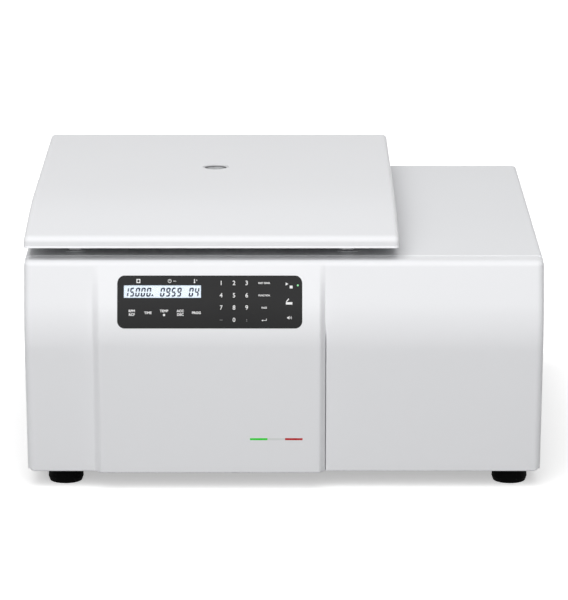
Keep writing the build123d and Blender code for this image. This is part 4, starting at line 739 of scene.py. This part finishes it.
def buildRotorSign():
    # the dark middle of the rotor's sign
    bm = bmesh.new()
    addDisc(bm, keypadMarks["iconColumns"][0], keypadMarks["iconRow"], 0.0014)
    onControlFace(bm, filmShape["proud"] + 2 * filmShape["inkLift"])
    finishMesh("keypad_rotor_sign", bm, "housing", "keypad_film")


buildLegends()
buildFaintMarks()
buildRotorSign()

# seven-segment figures on the display, leaning like the printed ones
segmentSets = {"0": "abcdef", "1": "bc", "4": "bcfg", "5": "acdfg", "9": "abcdfg"}
displayFigures = {"height": 0.0098, "width": 0.0050, "stroke": 0.0016, "slant": 0.16, "pitch": 0.0064,
                  "drop": 0.0012, "depth": 0.00070, "flatInset": 0.64, "uprightInset": 0.39,
                  "arrow": (0.0312, 0.0006),
                  "groups": ((-0.0002, "15000"), (0.0412, "0959"), (0.0742, "04"))}


def addFigure(bm, figure, left, low):
    width, height, stroke = displayFigures["width"], displayFigures["height"], displayFigures["stroke"]
    half = height / 2
    flat, upright = stroke * displayFigures["flatInset"], stroke * displayFigures["uprightInset"]
    bars = {"a": (0, height - stroke, width, height), "d": (0, 0, width, stroke),
            "g": (0, half - stroke / 2, width, half + stroke / 2),
            "f": (0, half, stroke, height), "b": (width - stroke, half, width, height),
            "e": (0, 0, stroke, half), "c": (width - stroke, 0, width, half)}
    for name in segmentSets[figure]:
        x0, z0, x1, z1 = bars[name]
        if name in "adg":
            x0, x1 = x0 + flat, x1 - flat
        else:
            z0, z1 = z0 + upright, z1 - upright
        corners = ((x0, z0), (x1, z0), (x1, z1), (x0, z1))
        slant = displayFigures["slant"]
        addFace(bm, [(left + x + z * slant, 0.0, low + z) for x, z in corners])


def buildDisplay():
    bm = bmesh.new()
    shape = displayFigures
    middle = (windowLow.z + windowHigh.z) / 2
    low = middle - shape["height"] * math.cos(math.radians(frontShape["control"]["lean"])) / 2 - shape["drop"]
    for start, figures in shape["groups"]:
        for index, figure in enumerate(figures):
            addFigure(bm, figure, windowLow.x + start + index * shape["pitch"], low)
    left, rise = shape["arrow"]
    addFace(bm, [(windowLow.x + left + dx, 0.0, low + rise + dz)
                 for dx, dz in ((0.0, 0.0), (0.0032, 0.0), (0.0016, 0.0024))])
    onControlFace(bm, -shape["depth"])
    finishMesh("display_figures", bm, "housing", "display", material=inkBlue)


buildDisplay()
print("keypad and display built")

# three-colour stripe low on the control zone
stripeShape = {"left": -0.0396, "length": 0.0204, "z": 0.0646, "height": 0.0025, "lift": 0.00006,
               "colors": (("stripe_green", printGreen), ("stripe_pale", printPale), ("stripe_red", printRed))}
for index, (name, material) in enumerate(stripeShape["colors"]):
    bm = bmesh.new()
    left = stripeShape["left"] + index * stripeShape["length"]
    half = stripeShape["height"] / 2
    right = left + stripeShape["length"]
    addFace(bm, [(x, 0.0, stripeShape["z"] + dz)
                 for x, dz in ((left, -half), (right, -half), (right, half), (left, half))])
    onControlFace(bm, stripeShape["lift"])
    finishMesh(name, bm, "housing", "white_moulding", material=material)
print("stripe built")


# fasteners with cross recesses, turned coils and other small real forms in place of plain CAD ones


def solidBoxes(name):
    # lowest and highest corner of each separate solid of a node, from a merged copy of its mesh
    bm = bmesh.new()
    bm.from_mesh(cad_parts[name].data)
    bmesh.ops.remove_doubles(bm, verts=bm.verts, dist=1e-6)
    left = set(bm.verts)
    boxes = []
    while left:
        stack = [left.pop()]
        points = []
        while stack:
            vert = stack.pop()
            points.append(vert.co.copy())
            for edge in vert.link_edges:
                other = edge.other_vert(vert)
                if other in left:
                    left.discard(other)
                    stack.append(other)
        low = Vector([min(point[axis] for point in points) for axis in range(3)])
        high = Vector([max(point[axis] for point in points) for axis in range(3)])
        boxes.append((low, high))
    bm.free()
    return sorted(boxes, key=lambda box: tuple(box[0]))


def turnedMesh(profile, steps=40):
    # profile of (radius, height) turned about Z
    bm = bmesh.new()
    verts = [bm.verts.new((radius, 0.0, height)) for radius, height in profile]
    edges = [bm.edges.new(pair) for pair in zip(verts, verts[1:])]
    bmesh.ops.spin(bm, geom=verts + edges, cent=(0, 0, 0), axis=(0, 0, 1), angle=2 * math.pi, steps=steps,
                   use_merge=True)
    bmesh.ops.remove_doubles(bm, verts=bm.verts, dist=1e-6)
    faceOutward(bm)
    return bm


screwShape = {"recessWidth": 0.2, "recessSpan": 1.15, "recessDepth": 0.55, "edge": 0.2, "tip": 0.0005,
              "tipShare": 0.6, "sides": 32, "firstTurn": 23.0, "turnStep": 51.0}
screwSets = {
    "housing_screws": {"body": "housing", "axis": 1, "side": 1.0, "headHeight": 0.0014, "shank": 0.0019},
    "lid_screws": {"body": "lid", "axis": 2, "side": -1.0, "headHeight": 0.0016, "shank": 0.0016},
    "foot_screws": {"body": "housing", "axis": 2, "side": -1.0, "headHeight": 0.0040, "shank": 0.0030},
}


def crossCutter(radius, top, depth):
    bm = bmesh.new()
    half = radius * screwShape["recessWidth"]
    arm = radius * screwShape["recessSpan"] / 2 + half
    corners = [(half, arm), (-half, arm), (-half, half), (-arm, half), (-arm, -half), (-half, -half),
               (-half, -arm), (half, -arm), (half, -half), (arm, -half), (arm, half), (half, half)]
    face = addFace(bm, [(x, y, top - depth) for x, y in corners])
    raised = pick(bmesh.ops.extrude_face_region(bm, geom=[face])["geom"], BMVert)
    bmesh.ops.translate(bm, verts=raised, vec=(0, 0, depth * 2))
    faceOutward(bm)
    return newObject("cross", bm)


def buildScrews(node, shape):
    boxes = solidBoxes(node)
    axis, side, top, shank = shape["axis"], shape["side"], shape["headHeight"], shape["shank"]
    low, high = boxes[0]
    across = (axis + 1) % 3
    radius = (high[across] - low[across]) / 2
    length = high[axis] - low[axis]
    soft = top * screwShape["edge"]
    profile = [(0.0, top), (radius - 2 * soft, top), (radius - 0.6 * soft, top - 0.4 * soft),
               (radius, top - 1.5 * soft), (radius, 0.0), (shank, 0.0),
               (shank, top - length + screwShape["tip"]), (shank * screwShape["tipShare"], top - length),
               (0.0, top - length)]
    master = newObject("screw", turnedMesh(profile, screwShape["sides"]))
    applyCut(master, crossCutter(radius, top, top * screwShape["recessDepth"]))
    direction = Vector([side if index == axis else 0.0 for index in range(3)])
    turn = direction.to_track_quat("Z", "Y").to_matrix().to_4x4()
    joined = bmesh.new()
    for index, (low, high) in enumerate(boxes):
        place = (low + high) / 2
        place[axis] = (high[axis] if side > 0 else low[axis]) - side * top
        angle = math.radians(screwShape["firstTurn"] + screwShape["turnStep"] * index)
        copy = bmesh.new()
        copy.from_mesh(master.data)
        copy.transform(Matrix.Translation(place) @ turn @ Matrix.Rotation(angle, 4, "Z"))
        mergeInto(joined, copy)
    bpy.data.objects.remove(master)
    piece = finishMesh(node + "_cross", joined, shape["body"], "bright_steel")
    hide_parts(node)


for node, shape in screwSets.items():
    buildScrews(node, shape)

springShape = {"wire": 0.0018, "turns": 15, "sides": 10, "stepsPerTurn": 24}


def buildSprings():
    bm = bmesh.new()
    wire = springShape["wire"]
    for low, high in solidBoxes("hinge_springs"):
        middle = (low + high) / 2
        x, z = low.x + wire / 2, middle.z + ((high.z - low.z) / 2 - wire / 2)
        verts = bmesh.ops.create_circle(bm, cap_ends=False, segments=springShape["sides"], radius=wire / 2,
                                        matrix=Matrix.Translation((x, middle.y, z)))["verts"]
        edges = list({edge for vert in verts for edge in vert.link_edges})
        for vert in verts:      # the circle is turned to stand across the wire
            offset = vert.co - Vector((x, middle.y, z))
            vert.co = Vector((x + offset.x, middle.y, z + offset.y))
        steps = springShape["turns"] * springShape["stepsPerTurn"]
        pitch = (high.x - low.x - wire) / steps
        ends = bmesh.ops.spin(bm, geom=verts + edges, cent=middle, axis=(1, 0, 0), dvec=(pitch, 0, 0),
                              angle=2 * math.pi * springShape["turns"], steps=steps)["geom_last"]
        bmesh.ops.contextual_create(bm, geom=edges)
        bmesh.ops.contextual_create(bm, geom=pick(ends, BMEdge))
    faceOutward(bm)
    piece = finishMesh("hinge_coils", bm, "housing", "bright_steel", 60.0)
    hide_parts("hinge_springs")


buildSprings()

# status lamp lens, domed a little over the film

lampShape = {"radius": 0.00125, "dome": 0.0006, "sunk": 0.0003, "sides": 28, "rings": 6}


def buildLampLens():
    lean = math.radians(frontShape["control"]["lean"])
    outward = Vector((0.0, -math.cos(lean), math.sin(lean)))
    crown = [vert.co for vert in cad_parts["status_led"].data.vertices]
    reach = max(point.dot(outward) for point in crown)
    rim = [point for point in crown if point.dot(outward) > reach - 1e-5]
    middle = sum(rim, Vector()) / len(rim)
    radius, sunk = lampShape["radius"], lampShape["sunk"]
    shares = [ring / lampShape["rings"] for ring in range(lampShape["rings"] + 1)]
    profile = [(radius * share, lampShape["dome"] * (1 - share * share)) for share in shares]
    bm = turnedMesh(profile + [(radius, -sunk), (0.0, -sunk)], lampShape["sides"])
    bm.transform(Matrix.Translation(middle) @ outward.to_track_quat("Z", "Y").to_matrix().to_4x4())
    finishMesh("status_lens", bm, "housing", "green_lamp", 50.0)


buildLampLens()

# pale sleeve and dark seal ring of the viewport

sealShape = {"section": 0.0003, "gap": 0.0001, "sides": 10, "steps": 72}
paleSleeve = plainFinish("sleeve_plastic", (0.8, 0.806, 0.82), 0.35)
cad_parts["viewport_sleeve"].data.materials[0] = paleSleeve


def buildViewportSeal():
    glasses = solidBoxes("viewport_glass")
    low, high = max(glasses, key=lambda box: box[1].z)
    middle = (low + high) / 2
    section = sealShape["section"]
    place = Vector((high.x - section - sealShape["gap"], middle.y, high.z + section))
    bm = bmesh.new()
    ring = bmesh.ops.create_circle(bm, cap_ends=False, segments=sealShape["sides"], radius=section,
                                   matrix=Matrix.Translation(place) @ Matrix.Rotation(math.pi / 2, 4, "X"))
    edges = list({edge for vert in ring["verts"] for edge in vert.link_edges})
    bmesh.ops.spin(bm, geom=ring["verts"] + edges, cent=(middle.x, middle.y, 0.0), axis=(0, 0, 1),
                   angle=2 * math.pi, steps=sealShape["steps"], use_merge=True)
    bmesh.ops.remove_doubles(bm, verts=bm.verts, dist=1e-6)
    faceOutward(bm)
    finishMesh("viewport_seal", bm, "lid", "gasket_rubber", 60.0)


buildViewportSeal()

# I and O on the rocker

rockerMarks = {"size": 0.0044, "stroke": 0.0008, "lift": 0.00005, "sides": 32}


def buildRockerMarks():
    halves = {}
    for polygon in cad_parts["power_rocker"].data.polygons:
        if polygon.normal.y > 0.75:
            part = (polygon.area, polygon.center.copy(), polygon.normal.copy())
            halves.setdefault(polygon.normal.z > 0, []).append(part)
    half, thin = rockerMarks["size"] / 2, rockerMarks["stroke"] / 2
    bm = bmesh.new()
    for upper, parts in halves.items():
        area = sum(part[0] for part in parts)
        centre = sum((part[1] * part[0] for part in parts), Vector()) / area
        normal = sum((part[2] * part[0] for part in parts), Vector()).normalized()
        across = Vector((1, 0, 0))
        upwards = normal.cross(across).normalized()
        if upwards.z < 0:
            upwards = -upwards
        place = Matrix((across, upwards, across.cross(upwards))).transposed().to_4x4()
        place.translation = centre + normal * rockerMarks["lift"]
        mark = bmesh.new()
        if upper:
            addFace(mark, [(x, z, 0.0) for x, z in rectangle(2 * thin, 2 * half)])
        else:
            spoke = [mark.verts.new((reach, 0.0, 0.0)) for reach in (half - 2 * thin, half)]
            edge = mark.edges.new(spoke)
            bmesh.ops.spin(mark, geom=spoke + [edge], cent=(0, 0, 0), axis=(0, 0, 1), angle=2 * math.pi,
                           steps=rockerMarks["sides"], use_merge=True)
        mark.transform(place)
        faceOutward(mark)
        for face in mark.faces:
            if face.normal.dot(normal) < 0:
                face.normal_flip()
        mergeInto(bm, mark)
    finishMesh("rocker_marks", bm, "power_rocker", "white_moulding", material=inkWhite)


buildRockerMarks()
print("small parts built")


# floor, lamps and camera

stageLook = {"floorSize": 14.0, "floorPaleness": 0.86, "bounce": 0.31,
             "liftToWhite": 0.46, "whiteFrom": 0.02, "whiteBy": 0.22, "halfWidth": 0.3, "halfDepth": 0.283,
             "aimHeight": 0.2, "worldLight": 0.262,
             "keyPower": 247.0, "keySize": 5.0, "keyDistance": 5.0, "keyAzimuth": -8.0, "keyElevation": 42.0,
             "fillPower": 34.0, "fillSize": 3.0, "fillDistance": 4.0, "fillAzimuth": 180.0,
             "fillElevation": 8.0}


def addSeenShare(tree):
    # 1 where the camera, a mirror or a glass looks at the background, and 0 in the light that it sends
    path = tree.nodes.new("ShaderNodeLightPath")
    share = path.outputs["Is Camera Ray"]
    for operation, ray in (("ADD", "Is Glossy Ray"), ("ADD", "Is Transmission Ray"),
                           ("SUBTRACT", "Diffuse Depth")):
        share = addNode(tree, "ShaderNodeMath", {"operation": operation, "use_clamp": True},
                        {0: share, 1: path.outputs[ray]}).outputs[0]
    return share


def buildFloor():
    bm = bmesh.new()
    bmesh.ops.create_grid(bm, x_segments=1, y_segments=1, size=stageLook["floorSize"] / 2)
    floor = newObject("floor", bm)
    material = bpy.data.materials.new("floor")
    tree, output = emptyTree(material, "ShaderNodeOutputMaterial")
    seen = addSeenShare(tree)
    paleness = addNode(tree, "ShaderNodeMapRange", inputs={
        "Value": seen, "To Min": stageLook["bounce"], "To Max": stageLook["floorPaleness"]})
    diffuse = addNode(tree, "ShaderNodeBsdfDiffuse", inputs={"Color": paleness.outputs["Result"]})
    # the shadow stays near the object, and farther out the floor is lifted to white
    coordinates = tree.nodes.new("ShaderNodeTexCoord")
    place = coordinates.outputs["Object"]
    footprint = (stageLook["halfWidth"], stageLook["halfDepth"], 0.0)
    for operation, other in (("ABSOLUTE", None), ("SUBTRACT", footprint), ("MAXIMUM", (0.0, 0.0, 0.0))):
        inputs = {0: place} if other is None else {0: place, 1: other}
        place = addNode(tree, "ShaderNodeVectorMath", {"operation": operation}, inputs).outputs[0]
    away = addNode(tree, "ShaderNodeVectorMath", {"operation": "LENGTH"}, {0: place})
    rise = addNode(tree, "ShaderNodeMapRange", {"interpolation_type": "SMOOTHSTEP"}, {
        "Value": away.outputs["Value"], "From Min": stageLook["whiteFrom"], "From Max": stageLook["whiteBy"],
        "To Min": stageLook["liftToWhite"], "To Max": 1.0})
    strength = addNode(tree, "ShaderNodeMath", {"operation": "MULTIPLY"},
                       {0: seen, 1: rise.outputs["Result"]})
    glow = addNode(tree, "ShaderNodeEmission", inputs={"Strength": strength.outputs[0]})
    both = addNode(tree, "ShaderNodeAddShader", inputs={0: diffuse.outputs[0], 1: glow.outputs[0]})
    tree.links.new(both.outputs[0], output.inputs[0])
    floor.data.materials.append(material)


def buildWorld():
    world = bpy.data.worlds.new("studio")
    bpy.context.scene.world = world
    tree, output = emptyTree(world, "ShaderNodeOutputWorld")
    strength = addNode(tree, "ShaderNodeMapRange", inputs={
        "Value": addSeenShare(tree), "To Min": stageLook["worldLight"], "To Max": 1.0})
    sky = addNode(tree, "ShaderNodeBackground", inputs={
        "Color": (1.0, 1.0, 1.0, 1.0), "Strength": strength.outputs["Result"]})
    tree.links.new(sky.outputs[0], output.inputs[0])


def addAreaLamp(name):
    # aimed at the middle of the machine
    lamp = bpy.data.lights.new(name, "AREA")
    lamp.energy = stageLook[name + "Power"]
    lamp.size = stageLook[name + "Size"]
    holder = linkNew(name, lamp)
    turn, lift = math.radians(stageLook[name + "Azimuth"]), math.radians(stageLook[name + "Elevation"])
    back = Vector((math.sin(turn) * math.cos(lift), -math.cos(turn) * math.cos(lift), math.sin(lift)))
    holder.location = Vector((0.0, 0.0, stageLook["aimHeight"])) + back * stageLook[name + "Distance"]
    holder.rotation_euler = back.to_track_quat("Z", "Y").to_euler()
    return holder


buildFloor()
buildWorld()
addAreaLamp("key")
fillLamp = addAreaLamp("fill")
fillLamp.visible_camera = False     # it stands behind the object, where the camera would look into it
fillLamp.visible_glossy = False     # and no low glare runs over the lid

cameraView = {"location": (0.0, -4.4256, 1.2454), "tilt": 76.306, "lens": 222.9, "sensor": 36.0}
camera = bpy.data.cameras.new("camera")
camera.lens = cameraView["lens"]
camera.sensor_width = cameraView["sensor"]
cameraHolder = linkNew("camera", camera)
cameraHolder.location = cameraView["location"]
cameraHolder.rotation_euler = (math.radians(cameraView["tilt"]), 0.0, 0.0)
bpy.context.scene.camera = cameraHolder
bpy.context.scene.view_settings.view_transform = "Standard"
print("stage built")
